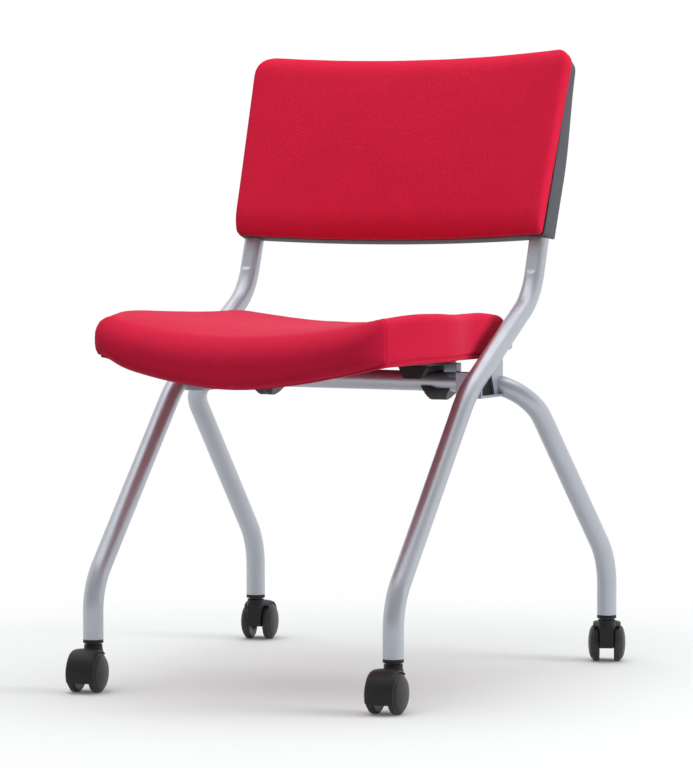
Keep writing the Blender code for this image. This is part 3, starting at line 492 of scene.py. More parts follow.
def moulded(name, colour, roughness, grain, depth, scuffed=0.5):
    """Moulded plastic: a fine spark-eroded grain with paler rubbed patches."""
    graph = Graph(name, roughness, Specular_IOR_Level=0.26)
    fine = graph.noise(grain, 3, 0.6)
    rubbed = graph.spread(graph.noise(60, 5, 0.65), 0.5, 0.8, 0, scuffed)
    tone = graph.plus(graph.spread(fine, 0.3, 0.7, 0.15, 0.35), rubbed)
    graph.set("Base Color", graph.mix(tone, toned(colour, 0.85), toned(colour, 1.5, 0.004)))
    graph.set("Roughness", graph.spread(fine, 0.25, 0.75, roughness - 0.07, roughness + 0.07))
    graph.bump(fine, depth, 0.7)
    return graph.material


def plywood(name):
    """Birch ply with long grain and fine pores."""
    graph = Graph(name, 0.6)
    stretch = graph.add("ShaderNodeVectorMath", operation="MULTIPLY")
    graph.feed(graph.place, stretch.inputs[0])
    graph.feed((1, 9, 9), stretch.inputs[1])
    grain = graph.noise(26, 6, 0.6, stretch.outputs[0])
    pore = graph.noise(180, 3, 0.6, stretch.outputs[0])
    tone = graph.plus(graph.spread(grain, 0.3, 0.7, 0.1, 0.8), graph.spread(pore, 0.4, 0.7, -0.1, 0.15))
    graph.set("Base Color", graph.mix(tone, linear(196, 160, 112), linear(228, 202, 160)))
    graph.set("Roughness", graph.spread(pore, 0.3, 0.7, 0.52, 0.7))
    graph.bump(pore, 0.0002, 0.5)
    return graph.material


RED = fabric("red_fabric", linear(204, 32, 64), 0.0026)
# The back pad's red is the seat fabric painted lighter, as painted light on the pad
PAD_RED_PAINTED_LIGHT = fabric("red_back_fabric_painted_lighter", linear(214, 33, 65), 0.0026)
THREAD = fabric("red_thread", linear(188, 26, 56), 0.0012)
SILVER = satin_metal("silver_tube", linear(180, 184, 193), 0.38, 0.70, 0.20)
SHEET_SILVER = satin_metal("silver_sheet", linear(170, 173, 184), 0.42, 0.62, 0.20)
STEEL = satin_metal("dark_steel", linear(152, 160, 172), 0.42, 0.5)
SCREW = satin_metal("screw_steel", linear(92, 93, 97), 0.34, 0.8)
BLACK = moulded("black_plastic", linear(28, 27, 30), 0.46, 900, 0.00008)
# Insert plastic: the black plastic painted darker, as painted shade inside the bracket's hollow
INSERT_PAINTED_SHADE = moulded("insert_plastic_painted_shade", linear(17, 17, 19), 0.5, 900, 0.00008)
CLIP = moulded("clip_plastic", linear(72, 71, 74), 0.40, 900, 0.00006)
WHEEL = moulded("black_wheel", linear(46, 44, 48), 0.40, 1400, 0.00004)
GREY = moulded("grey_plastic", linear(76, 76, 83), 0.52, 620, 0.00012, 0.25)
RUBBER = moulded("pale_rubber", linear(172, 170, 175), 0.62, 1100, 0.00005, 0.3)
PLY = plywood("plywood")


# Frame tubes

def side_tube(label, side):
    shift = Vector((side * LEG_X, 0, 0))
    foot = Vector((0, FRONT_Y, LEG_END_Z))
    bend = Vector((0, FRONT_Y, FRONT_BEND_Z))
    points = [p + shift for p in (foot, bend, KNEE, HIP, HIP + UP * TUBE_TOP)]
    stations = rounded_path(points, [BEND_R, KNEE_R, BEND_R], SIDE_BEND_STEPS)
    straight = [(HIP + shift + UP * height, UP) for height in (FLAT_START + FLAT_RUN, TUBE_TOP * 0.6)]
    stations[-1:-1] = straight
    fronts = []
    for point, _ in stations:
        press = smooth(((point - HIP - shift).dot(UP) - FLAT_START) / FLAT_RUN)
        fronts.append(TUBE_R * 1.0001 + (FLAT_FRONT - TUBE_R) * press)
    shape = tube(stations, TUBE_R, fronts=fronts)
    piece(f"{label}_side_tube_skin", shape, SILVER, "frame", [f"{label}_side_tube"])


def rear_tube():
    corners = []
    for side in (1, -1):
        half = [
            Vector((side * REAR_FOOT_X, REAR_Y, LEG_END_Z)),
            Vector((side * REAR_FOOT_X, REAR_Y, REAR_BEND_Z)),
            Vector((side * BAR_CORNER_X, BAR_Y, BAR_Z)),
        ]
        corners += half if side == 1 else half[::-1]
    stations = rounded_path(corners, [BEND_R, BAR_BEND_R, BAR_BEND_R, BEND_R])
    shape = tube(stations, TUBE_R, across=(0, 1, 0))
    piece("rear_frame_skin", shape, SILVER, "frame", ["rear_frame"])


# Cushions: a swell from a short cloth simulation goes onto a finer form built from its outline

CLOTH = {
    "quality": 6, "mass": 0.2, "tension_stiffness": 18, "compression_stiffness": 18,
    "bending_stiffness": 0.6, "use_pressure": True, "vertex_group_mass": "hold",
}
SWELL_VOXEL, SWELL_FRAMES, SWELL_NEAR, SWELL_BLUR = 0.006, 20, 8, 0.002
SEAT_PRESSURE, SEAT_SWELL = 4.0, 0.0016
PAD_PRESSURE, PAD_SWELL = 3.0, 0.0012
RIPPLE_COARSE, RIPPLE_FINE, PAD_RIPPLE_SCALE, BOARD_RIPPLE_SCALE = 22, 60, 24, 30
SIDE_RIPPLE, TOP_RIPPLE, PAD_RIPPLE, BOARD_RIPPLE = (0.0003, 0.0001), (0.0006, 0.00018), 0.0005, 0.0004


def swell(name, shape, hold, pressure, cap):
    """Inflates a copy of a form and gives a function from a place to how far it moved there."""
    mesh = bpy.data.meshes.new(name)
    mesh.from_pydata(shape[0], [], shape[1])
    obj = bpy.data.objects.new(name, mesh)
    scene = bpy.context.scene
    scene.collection.objects.link(obj)
    remesh = obj.modifiers.new("remesh", "REMESH")
    remesh.mode = "VOXEL"
    remesh.voxel_size = SWELL_VOXEL
    even = bpy.data.meshes.new_from_object(obj.evaluated_get(bpy.context.evaluated_depsgraph_get()))
    obj.modifiers.clear()
    obj.data = even
    group = obj.vertex_groups.new(name="hold")
    start = [vertex.co.copy() for vertex in even.vertices]
    for index, place in enumerate(start):
        group.add([index], hold(place), "REPLACE")
    cloth = obj.modifiers.new("cloth", "CLOTH")
    for key, value in CLOTH.items():
        setattr(cloth.settings, key, value)
    cloth.settings.uniform_pressure_force = pressure
    cloth.settings.effector_weights.gravity = 0
    cloth.point_cache.frame_start = 1
    cloth.point_cache.frame_end = SWELL_FRAMES
    for step in range(1, SWELL_FRAMES + 1):
        scene.frame_set(step)
    relaxed = obj.evaluated_get(bpy.context.evaluated_depsgraph_get()).data
    tree = kdtree.KDTree(len(start))
    moves = []
    for index, place in enumerate(start):
        tree.insert(place, index)
        moves.append(relaxed.vertices[index].co - place)
    tree.balance()
    scale = min(1.0, cap / max(move.length for move in moves))
    moves = [move * scale for move in moves]
    bpy.data.objects.remove(obj)
    scene.frame_set(1)

    def at(place):
        total = Vector()
        weight = 0.0
        for _, index, distance in tree.find_n(place, SWELL_NEAR):
            share = 1 / (distance + SWELL_BLUR) ** 2
            total += moves[index] * share
            weight += share
        return total / weight
    return at


def ripple(place, coarse, fine):
    return noise.noise(place * RIPPLE_COARSE) * coarse + noise.noise(place * RIPPLE_FINE) * fine


SEAM_ANGLE = math.radians(52)
SEAM_Y = -0.268
PANEL_BOW = SEAT_CORNER_R * (1 - math.sin(SEAM_ANGLE))
PANEL_RUN = 0.1463
PANEL_END_Y = SEAM_Y + PANEL_RUN
FRONT_ANGLE = math.radians(6.2)
CORNER_RUN = 0.09
FAR_LIFT, FAR_LIFT_X, FAR_LIFT_WIDTH, FAR_LIFT_RUN = 0.0065, -0.182, 0.020, 0.2
CORNER_SOFT_LEFT, CORNER_SOFT_RIGHT = 0.15, 1.0
ROLL_EDGE, DROP_EDGE = (0.013, 0.009, 0.039), (0.013, 0.015, 0.029)
TUCK_EDGE, RISE_EDGE = (0.003, 0.008, 0.035), (0.010, 0.008, 0.022)
CUSHION_EDGES = (ROLL_EDGE, DROP_EDGE, TUCK_EDGE, RISE_EDGE)
HEM, HEM_FRONT = 0.0052, 0.019
HEM_DENT, HEM_WIDTH = 0.0024, 0.0013
HEM_ROLL, HEM_ROLL_BELOW, HEM_ROLL_WIDTH = 0.0010, 0.0026, 0.0018
HEM_BELOW = (0, 0.25, 0.5, 0.7, 0.82, 0.9, 0.96, 1)
HEM_ABOVE = (0.0004, 0.001, 0.0018, 0.003, 0.0046, 0.0066)
SEAM_DENT, SEAM_WIDTH, SEAM_REACH = 0.0011, 0.0018, 0.02
PUCKER, PUCKER_PITCH, PUCKER_AWAY = 0.00022, 0.0065, 0.004
STITCH_START, STITCH_LENGTH, STITCH_PITCH = 0.002, 0.0026, 0.0042
STITCH_ASIDE, STITCH_RISE, STITCH_MARGIN = 0.0035, 0.0001, 0.003
STITCH_BEAD = ((0.00042, 0.0005), (0.0003, 0.0011), (0, 0.0013))
SEAM_ROWS = slice(9, -12)
FIRM_LOW, FIRM_RUN = 0.010, 0.012
CORNER_X, CORNER_Y, CORNER_WIDTH, CORNER_HOLD = 0.197, -0.262, 0.012, 0.7
COARSE_SPACING, COARSE_STEP, COARSE_ROWS, COARSE_TOP = 0.012, 5, 10, (0.85, 0.65, 0.45, 0.25)
FINE_SPACING, FINE_STEP, FINE_ROWS = 0.006, 1.2, 26
BOARD_SPACING, BOARD_STEP, BOARD_ROWS = 0.008, 3, 16
ROLL_STEPS, EASE_REACH = 14, 0.025
RECESS_SHARES = (0.01, 0.35, 0.7)
SEAT_TILT = 0.006


def half_width(y):
    """Half the seat's width: full at the front, drawn in between the uprights."""
    share = min(max((y - SEAT_TAPER_START_Y) / (SEAT_TAPER_END_Y - SEAT_TAPER_START_Y), 0.0), 1.0)
    share = share ** 3 * (10 - 15 * share + 6 * share ** 2)
    return blend(SEAT_HALF_FRONT, SEAT_HALF_REAR, share)


def seat_outline(spacing, fine):
    half = [
        (0, SEAT_BOW_Y, SEAT_BOW_R, 2),
        (SEAT_HALF_FRONT, SEAT_CORNER_Y, SEAT_CORNER_R, fine),
        (SEAT_HALF_FRONT, SEAT_REAR_Y, SEAT_REAR_R, 5),
    ]
    points = rounded_outline(half + [(-x, y, r, step) for x, y, r, step in half[:0:-1]], spacing)
    for point in points:
        share = (PANEL_END_Y - point.y) / (PANEL_END_Y - SEAM_Y)
        if 0 < share < 1:
            point.x = math.copysign(SEAT_HALF_FRONT - PANEL_BOW * share ** 2, point.x)
        point.x *= half_width(point.y) / SEAT_HALF_FRONT
    return points


def waterfall(y):
    return max((WATERFALL_Y - y) / (WATERFALL_Y - SEAT_BOW_Y), 0.0) ** 2


def seat_under(x, y):
    across = (x / half_width(y)) ** 2
    rise = (SEAT_DISH - SEAT_DISH_FRONT * y) * across
    lift = FAR_LIFT * bell(x - FAR_LIFT_X, FAR_LIFT_WIDTH) * smooth(-y / FAR_LIFT_RUN)
    return SEAT_UNDER_Z + rise + lift - WATERFALL_UNDER * waterfall(y) * (1 - across)


def seat_top(x, y):
    across = (x / half_width(y)) ** 2
    rear = SEAT_REAR_DROP * smooth((y - BAR_Y) / (SEAT_REAR_Y - BAR_Y))
    front = WATERFALL_TOP * waterfall(y) * (1 - (1 - WATERFALL_CORNER) * across)
    front -= FRONT_CROWN * bell(x, FRONT_CROWN_WIDTH) * waterfall(y)
    rise = (SEAT_DISH_TOP + SEAT_DISH_RISE * smooth(-y / SEAT_DISH_RUN)) * across
    return SEAT_UNDER_Z + SEAT_THICK + rise - rear - front + SEAT_TILT * x


def on_under(place, rise=0.0):
    return Vector((place.x, place.y, seat_under(place.x, place.y) + rise))


def on_top(place, drop=0.0):
    return Vector((place.x, place.y, seat_top(place.x, place.y) - drop))


def seam_angle(normal):
    return math.atan2(abs(normal.x), -normal.y)


def front_share(normal):
    """1 along the front, 0 from the corner seam back, with a fold at the seam."""
    share = (seam_angle(normal) - FRONT_ANGLE) / (SEAM_ANGLE - FRONT_ANGLE)
    return 1 - min(max(share, 0.0), 1.0) ** 1.5


def eased(points, normals, reach):
    """Normals averaged over a reach along the outline."""
    result = []
    for p in points:
        total = Vector()
        for q, n in zip(points, normals):
            total += n * bell((p - q).length, reach)
        result.append(total.normalized())
    return result


def seat_profile(point, normal, inward):
    """Dense line up the cushion's side at one place of the outline, from its hem to its top rim."""
    front = front_share(normal)
    corner = 1 - smooth((point.y - SEAM_Y) / CORNER_RUN)
    corner *= CORNER_SOFT_LEFT if normal.x > 0 else CORNER_SOFT_RIGHT
    sizes = []
    for at_side, at_corner, at_front in CUSHION_EDGES:
        sizes.append(blend(at_side + at_corner * corner, at_front, front))
    roll, drop, tuck, rise = sizes
    line = []
    for inset, share in quarter(ROLL_STEPS)[::-1]:
        line.append(on_under(point - inward * tuck * inset, rise * share))
    for inset, share in quarter(ROLL_STEPS):
        line.append(on_top(point - inward * roll * inset, drop * share))
    return line


def pan_inset(normal):
    """How far the board's edge lies inside the outline."""
    return blend(PAN_INSET, PAN_INSET_FRONT, front_share(normal))


def resample(line, stops):
    """Points of a line at the given distances from its start."""
    lengths = distances(line)
    points = []
    index = 0
    for stop in stops:
        while index < len(line) - 2 and lengths[index + 1] < stop:
            index += 1
        span = lengths[index + 1] - lengths[index]
        points.append(line[index].lerp(line[index + 1], (stop - lengths[index]) / max(span, 1e-9)))
    return points


def hem_height(normal):
    """Distance of the hem's crease from the cover's lower edge."""
    return blend(HEM, HEM_FRONT, front_share(normal))


def hem_stops(hem):
    return [hem * share for share in HEM_BELOW] + [hem + step for step in HEM_ABOVE]


def fine_stops(total, hem):
    stops = hem_stops(hem)
    rest = total - stops[-1]
    return stops + [stops[-1] + rest * k / FINE_ROWS for k in range(1, FINE_ROWS + 1)]


def coarse_stops(total, hem):
    return [total * k / COARSE_ROWS for k in range(COARSE_ROWS + 1)]


def seat_form(spacing, step, stops, shares):
    """Rings of the cushion: its recess for the board, its side and its top."""
    points = seat_outline(spacing, step)
    normals = outward(points)
    columns = []
    recess = []
    for p, n, inward in zip(points, normals, eased(points, normals, EASE_REACH)):
        line = seat_profile(p, n, inward)
        columns.append(resample(line, stops(distances(line)[-1], hem_height(n))))
        recess.append(on_under(p - inward * pan_inset(n)))
    rings = [list(ring) for ring in zip(*columns)]
    roof = [p + UPRIGHT * PAN_ROOF for p in recess]
    inside = [[on_under(SEAT_CENTRE.lerp(p, share), PAN_ROOF) for p in roof] for share in RECESS_SHARES]
    rim = [Vector((p.x, p.y, 0)) for p in rings[-1]]
    top = [[on_top(SEAT_CENTRE.lerp(p, share)) for p in rim] for share in shares]
    below = [[Vector((0, SEAT_CENTRE.y, inside[0][0].z))]] + inside + [roof, recess]
    return points, normals, below, rings, top + [[on_top(SEAT_CENTRE)]]


def seat_cushion():
    _, _, below, rings, top = seat_form(COARSE_SPACING, COARSE_STEP, coarse_stops, COARSE_TOP)

    def hold(place):
        firm = 1 - smooth((place.z - seat_under(place.x, place.y) - FIRM_LOW) / FIRM_RUN)
        edge = bell(abs(abs(place.x) - CORNER_X) + abs(place.y - CORNER_Y), CORNER_WIDTH)
        return max(firm, CORNER_HOLD * edge)

    move = swell("seat_swell", loft(below + rings + top), hold, SEAT_PRESSURE, SEAT_SWELL)
    shares = [1 - k / FINE_ROWS for k in range(1, FINE_ROWS)]
    points, normals, below, rings, top = seat_form(FINE_SPACING, FINE_STEP, fine_stops, shares)
    corners = []
    for side in (1, -1):
        spot = Vector((side * (SEAT_HALF_FRONT - PANEL_BOW), SEAM_Y, 0))
        corners.append(min(range(len(points)), key=lambda k: (points[k] - spot).length))
    seams = [[ring[k].copy() for ring in rings] for k in corners]
    for k, normal in enumerate(normals):
        line = [ring[k].copy() for ring in rings]
        hem = hem_height(normal)
        stops = hem_stops(hem)
        for level, ring in enumerate(rings):
            place = ring[k]
            along = line[min(level + 1, len(line) - 1)] - line[max(level - 1, 0)]
            facing = (normal * along.z - UPRIGHT * along.dot(normal)).normalized()
            dent = 0.0
            if level < len(stops):
                dent += HEM_DENT * bell(stops[level] - hem, HEM_WIDTH)
                dent -= HEM_ROLL * bell(stops[level] - hem + HEM_ROLL_BELOW, HEM_ROLL_WIDTH)
            for seam in seams:
                away = (line[level] - seam[level]).length
                if away < SEAM_REACH:
                    pucker = math.sin((line[level].z - line[0].z) * 2 * math.pi / PUCKER_PITCH)
                    dent += SEAM_DENT * bell(away, SEAM_WIDTH)
                    dent += PUCKER * pucker * bell(away - PUCKER_AWAY, PUCKER_AWAY)
            place += move(line[level]) + facing * (ripple(place, *SIDE_RIPPLE) - dent)
    for ring in top:
        for place in ring:
            place += move(place) + UPRIGHT * ripple(place, *TOP_RIPPLE)
    obj = piece("seat_cover", loft(below + rings + top), RED, "seat", ["seat_cushion"], None)
    for k in corners:
        side = "left" if normals[k].x > 0 else "right"
        stitches(f"{side}_seat_seam_stitches", [ring[k] for ring in rings[SEAM_ROWS]], normals[k], "seat")


def seat_board():
    """Board under the cushion, wrapped in the same fabric, with pulled-in edges."""
    points = seat_outline(BOARD_SPACING, BOARD_STEP)
    normals = outward(points)
    inwards = eased(points, normals, EASE_REACH)

    def ring(inset, height):
        places = [p - i * (pan_inset(n) + PAN_SIDE + inset) for p, n, i in zip(points, normals, inwards)]
        return [on_under(place, height) for place in places]

    edge = [Vector((p.x, p.y, 0)) for p in ring(0, 0)]

    def face(share, height):
        return [on_under(q, height(q)) for q in (SEAT_CENTRE.lerp(p, share) for p in edge)]

    def pulled(place):
        return BOARD_RIPPLE * noise.noise(place * BOARD_RIPPLE_SCALE)

    shares = [k / BOARD_ROWS for k in range(1, BOARD_ROWS)]
    rings = [[on_under(SEAT_CENTRE)]]
    rings += [face(share, pulled) for share in shares]
    rings += [ring(PAN_EDGE * i, PAN_EDGE * d) for i, d in quarter(5)[::-1]]
    rings += [ring(0, PAN_T)]
    rings += [face(share, lambda place: PAN_T) for share in shares[::-1]]
    rings.append([on_under(SEAT_CENTRE, PAN_T)])
    piece("seat_board_cover", loft(rings), RED, "seat", ["seat_pan"], None)


def stitches(name, line, normal, body):
    """A row of short thread stitches beside a seam line."""
    shapes = []
    total = distances(line)[-1]
    side = Vector((-normal.y, normal.x, 0)) * (-1 if normal.x > 0 else 1)
    bead = [(radius, -height) for radius, height in STITCH_BEAD[::-1]] + list(STITCH_BEAD)
    start = STITCH_START
    while start + STITCH_MARGIN < total:
        ends = resample(line, [start, start + STITCH_LENGTH])
        middle = (ends[0] + ends[1]) / 2
        turn = UPRIGHT.rotation_difference((ends[1] - ends[0]).normalized()).to_matrix().to_4x4()
        place = Matrix.Translation(middle + side * STITCH_ASIDE + normal * STITCH_RISE) @ turn
        shapes.append(moved(lathe(bead, 8), place))
        start += STITCH_PITCH
    piece(name, joined(*shapes), THREAD, body, sharp=None)


def back_hollow(x):
    return BACK_HOLLOW * (1 - min(abs(x) / PAD_HALF_HIGH, 1.0) ** 2)


def back_point(x, height, depth):
    along = UP * (height + BACK_LEAN * x)
    return HIP + Vector((x, 0, 0)) + along + FORWARD * (depth - back_hollow(x))


def back_outline(margin, low, high, spacing, step):
    half_low = PAD_HALF_LOW + margin
    half_high = PAD_HALF_HIGH + margin
    corners = [(-half_low, low, BACK_LOW_R, step), (half_low, low, BACK_LOW_R, step),
               (half_high, high, BACK_TOP_R, step), (-half_high, high, BACK_FAR_R, step)]
    points = rounded_outline(corners, spacing)
    for point in points:
        across = (point.x / half_high) ** 2
        share = (point.y - low) / (high - low)
        point.y += BACK_RISE * across * share - BACK_SAG * (1 - across) * (1 - share)
    return points


def pad_form(spacing, step, rounds, shares):
    points = back_outline(PAD_MARGIN, PAD_LOW, PAD_HIGH, spacing, step)
    for point in points:
        share = (point.y - PAD_LOW) / (PAD_HIGH - PAD_LOW)
        point.x += PAD_SPREAD * share * (1 + point.x / PAD_HALF_HIGH)
    normals = outward(points)
    centre = Vector((0, (PAD_LOW + PAD_HIGH) / 2, 0))
    half_height = (PAD_HIGH - PAD_LOW) / 2
    rear = SHELL_RIM + PAD_GAP
    front = rear + PAD_T

    def crowned(place):
        across = 1 - (place.x / PAD_HALF_HIGH) ** 2
        upward = 1 - ((place.y - centre.y) / half_height) ** 2
        return front + PAD_CROWN * across * upward

    def pillow(place):
        """How far the face falls back towards the sides, the top and the lower edge."""
        share = (place.y - PAD_LOW) / (PAD_HIGH - PAD_LOW)
        half = PAD_MARGIN + PAD_HALF_LOW + (PAD_HALF_HIGH - PAD_HALF_LOW) * share
        half += PAD_SPREAD * share * (1 + place.x / PAD_HALF_HIGH)
        high = PAD_HIGH + BACK_RISE * (place.x / half) ** 2
        edges = ((half - abs(place.x), PAD_FALL_SIDE), (high - place.y, PAD_FALL_HIGH),
                 (place.y - PAD_LOW, PAD_FALL_LOW))
        return sum(depth * max(1 - inside / run, 0.0) ** 3 for inside, (run, depth) in edges)

    def ring(inset, depth):
        places = [p - n * inset for p, n in zip(points, normals)]
        return [back_point(p.x, p.y, depth) for p in places]

    def flat(share):
        return [back_point(q.x, q.y, rear) for q in (centre.lerp(p, share) for p in points)]

    def face(share):
        result = []
        for p, n in zip(points, normals):
            place = centre.lerp(p, share)
            edge = max(1 - (1 - share) * (p - centre).dot(n) / PAD_EDGE_R, 0.0)
            fall = pillow(place) + PAD_EDGE_R * (1 - math.sqrt(1 - edge * edge))
            result.append(back_point(place.x, place.y, crowned(place) - fall))
        return result

    rings = [[back_point(0, centre.y, rear)]]
    rings += [flat(share) for share in PAD_FLAT_SHARES]
    rings += [ring(PAD_REAR_ROLL * i, rear + PAD_REAR_ROLL * d) for i, d in quarter(rounds)[::-1]]
    rings += [face(share) for share in shares]
    rings.append([back_point(0, centre.y, crowned(centre))])
    return rings


def back_pad():
    rings = pad_form(*PAD_COARSE_GRID, PAD_COARSE)

    def hold(place):
        depth = (place - HIP).dot(FORWARD) + back_hollow(place.x)
        return 1 - smooth((depth - SHELL_RIM - PAD_FIRM) / PAD_FIRM_RUN)

    move = swell("back_swell", loft(rings), hold, PAD_PRESSURE, PAD_SWELL)
    shares = PAD_EDGE + tuple(0.9 - k / 30 for k in range(PAD_FACE_ROWS))
    rings = pad_form(*PAD_FINE_GRID, shares)
    for ring in rings:
        for place in ring:
            place += move(place) + FORWARD * (noise.noise(place * PAD_RIPPLE_SCALE) * PAD_RIPPLE)
    # The pad takes the seat's red painted lighter, as painted light
    obj = piece("back_cover", loft(rings), PAD_RED_PAINTED_LIGHT, "frame", ["back_pad"], None)


def back_shell():
    middle = (SHELL_LOW + SHELL_HIGH) / 2
    points = back_outline(SHELL_MARGIN, SHELL_LOW, SHELL_HIGH, *SHELL_GRID)
    normals = outward(points)

    def rear(height):
        share = smooth((height - SHELL_LOW - SHELL_FLAT_H) / (SHELL_HIGH - SHELL_LOW - SHELL_FLAT_H))
        return blend(SHELL_BACK_LOW, SHELL_BACK_HIGH, share)

    def at_rim(inset, drop):
        places = [p - n * inset for p, n in zip(points, normals)]
        return [back_point(q.x, q.y, SHELL_RIM - drop) for q in places]

    def at_edge(wall, inset, drop):
        """Ring of the rounding between side and rear, larger along the lower edge."""
        result = []
        for p, n in zip(points, normals):
            radius = blend(SHELL_EDGE_R, SHELL_EDGE_LOW, smooth(-n.y)) - wall
            place = p - n * (wall + radius * inset)
            result.append(back_point(place.x, place.y, rear(place.y) + wall + radius * drop))
        return result

    def face(share, wall):
        places = [(p.x * share, blend(middle, p.y, share)) for p in points]
        return [back_point(x, h, rear(h) + wall) for x, h in places]

    rings = [[back_point(0, middle, rear(middle) + SHELL_WALL)]]
    rings += [face(share, SHELL_WALL) for share in SHELL_SHARES[::-1]]
    rings += [at_edge(SHELL_WALL, inset, drop) for inset, drop in quarter(5)[::-1]]
    rings += [at_rim(SHELL_WALL, 0)] + [at_rim(inset, drop) for inset, drop in SHELL_RIM_SOFT]
    rings += [at_edge(0, inset, drop) for inset, drop in quarter(10)]
    rings += [face(share, 0) for share in SHELL_SHARES] + [[back_point(0, middle, rear(middle))]]
    piece("back_shell_skin", loft(rings), GREY, "frame", ["back_shell"], 50)


# Seat hinge, screws and bumpers

def sheet(outer, inner):
    """Closed skin over two facing grids of points, joined along their borders."""
    rows = len(outer)
    columns = len(outer[0])
    verts = [Vector(p) for grid in (outer, inner) for row in grid for p in row]
    faces = []
    for i in range(rows - 1):
        for j in range(columns - 1):
            quad = [i * columns + j, i * columns + j + 1, (i + 1) * columns + j + 1, (i + 1) * columns + j]
            faces += [quad, [rows * columns + k for k in quad[::-1]]]
    border = list(range(columns)) + [i * columns + columns - 1 for i in range(1, rows)]
    border += [(rows - 1) * columns + j for j in range(columns - 2, -1, -1)]
    border += [i * columns for i in range(rows - 2, 0, -1)]
    for a, b in zip(border, border[1:] + border[:1]):
        faces.append([a, rows * columns + a, rows * columns + b, b])
    return verts, faces


def clip_shape(side):
    """Clip under the cross tube: ribbed outside, thin along its scooped front edge."""
    bore = TUBE_R + CLIP_PLAY
    reach = TUBE_R + CLIP_WALL

    def place(across, y, z):
        flare = min((z + reach) / (CLIP_FLARE_Z + reach), 1.0)
        half = blend(CLIP_HALF_LOW, CLIP_HALF, flare)
        return (side * (CLIP_X + across * half), BAR_Y + y, BAR_Z + z)

    outer = []
    inner = []
    spread = [k / 8 - 1 for k in range(17)]
    for step in range(CLIP_STEPS + 1):
        outer.append([])
        inner.append([])
        for across in spread:
            scoop = smooth((across - CLIP_SCOOP_START) / CLIP_SCOOP_RUN)
            start = blend(CLIP_HIGH, CLIP_LOW, scoop)
            turn = start + (2 * math.pi - start) * step / CLIP_STEPS
            wall = blend(CLIP_LIP, CLIP_WALL, smooth((turn - start) / CLIP_THICKEN))
            ribs = 0.5 - 0.5 * math.cos(2 * math.pi * (turn - start) / RIB_PITCH)
            wall -= RIB_DEPTH * ribs * smooth((RIB_END - turn) / RIB_FADE)
            for radius, rows in ((bore + wall, outer), (bore, inner)):
                rows[-1].append(place(across, radius * math.cos(turn), radius * math.sin(turn)))
    for height in (0.0, CLIP_ARM_H / 2, CLIP_ARM_H):
        outer.append([place(across, CLIP_REAR, height) for across in spread])
        inner.append([place(across, math.sqrt(bore ** 2 - height ** 2), height) for across in spread])
    return sheet(outer, inner)


def slab(corners, low, high, edge):
    """Flat plate over a rounded plan outline, with soft edges."""
    points = rounded_outline(corners, 0.004)
    normals = outward(points)
    centre = sum(points, Vector()) / len(points)

    def ring(inset, height):
        return [(p.x - n.x * inset, p.y - n.y * inset, height) for p, n in zip(points, normals)]

    rings = [[(centre.x, centre.y, low)]]
    rings += [ring(edge * inset, low + edge * drop) for inset, drop in quarter(3)[::-1]]
    rings += [ring(edge * inset, high - edge * drop) for inset, drop in quarter(3)]
    return loft(rings + [[(centre.x, centre.y, high)]])


def rectangle(middle, half, front, rear, front_r, rear_r, rear_step):
    return [(middle - half, front, front_r, 15), (middle + half, front, front_r, 15),
            (middle + half, rear, rear_r, rear_step), (middle - half, rear, rear_r, rear_step)]


def plate_shape(side):
    """Steel plate between hinge and seat, with its lip turned down at the rear."""
    middle = side * HINGE_X
    rear = BAR_Y + PLATE_REAR
    plan = rectangle(middle, HINGE_HALF, BAR_Y - PLATE_FRONT, rear, PLATE_FRONT_R, PLATE_REAR_R, 9)
    lip_plan = rectangle(middle, LIP_HALF, rear - LIP_DEPTH, rear, LIP_FRONT_R, LIP_REAR_R, 9)
    lip = slab(lip_plan, PLATE_Z - LIP_DROP, PLATE_Z + PLATE_T / 2, LIP_EDGE)
    return joined(slab(plan, PLATE_Z, PLATE_Z + PLATE_T, PLATE_EDGE), lip)


def screw_shape(length):
    """Button-head screw on Z with its head at the bottom and a hexagon recess in it."""
    def ring(radius, height, flats=False):
        result = []
        for k in range(SCREW_SIDES):
            turn = 2 * math.pi * k / SCREW_SIDES
            reach = radius / math.cos(turn % (math.pi / 3) - math.pi / 6) if flats else radius
            result.append((reach * math.cos(turn), reach * math.sin(turn), height))
        return result

    rings = [[(0, 0, SCREW_KEY_DEPTH)], ring(SCREW_KEY_R, SCREW_KEY_DEPTH, True)]
    rings += [ring(SCREW_KEY_R, 0.0001, True)]
    rings += [ring(SCREW_HEAD_R - SCREW_DOME_IN * i, SCREW_DOME_H * d) for i, d in quarter(6)[::-1]]
    rings += [ring(SCREW_HEAD_R, SCREW_HEAD_H), ring(SCREW_R, SCREW_HEAD_H)]
    rings += [ring(SCREW_R, length - SCREW_R / 3), ring(SCREW_R * 0.7, length), [(0, 0, length)]]
    return loft(rings)


def screws():
    """Screws in the places of the CAD's plain ones."""
    for name, node in NODES.items():
        if "_screw_" not in name:
            continue
        body, axis = ("frame", FORWARD) if "_back_" in name else ("seat", UPRIGHT)
        places = [node.matrix_world @ vertex.co for vertex in node.data.vertices]
        low = min(place.dot(axis) for place in places)
        high = max(place.dot(axis) for place in places)
        face = [place for place in places if place.dot(axis) < low + 0.00001]
        turn = UPRIGHT.rotation_difference(axis).to_matrix().to_4x4()
        spot = Matrix.Translation(sum(face, Vector()) / len(face)) @ turn
        piece(f"{name}_button", moved(screw_shape(high - low), spot), SCREW, body, [name])


def bumper_shape():
    foot = TUBE_R - BUMPER_SINK
    top = TUBE_R + BUMPER_H
    profile = [(0, foot), (BUMPER_R, foot), (BUMPER_R, TUBE_R)]
    profile += [(BUMPER_R - BUMPER_SOFT * i, top - BUMPER_SOFT * d) for i, d in quarter(6)]
    return lathe(profile + [(0, top + BUMPER_DOME)], 48)


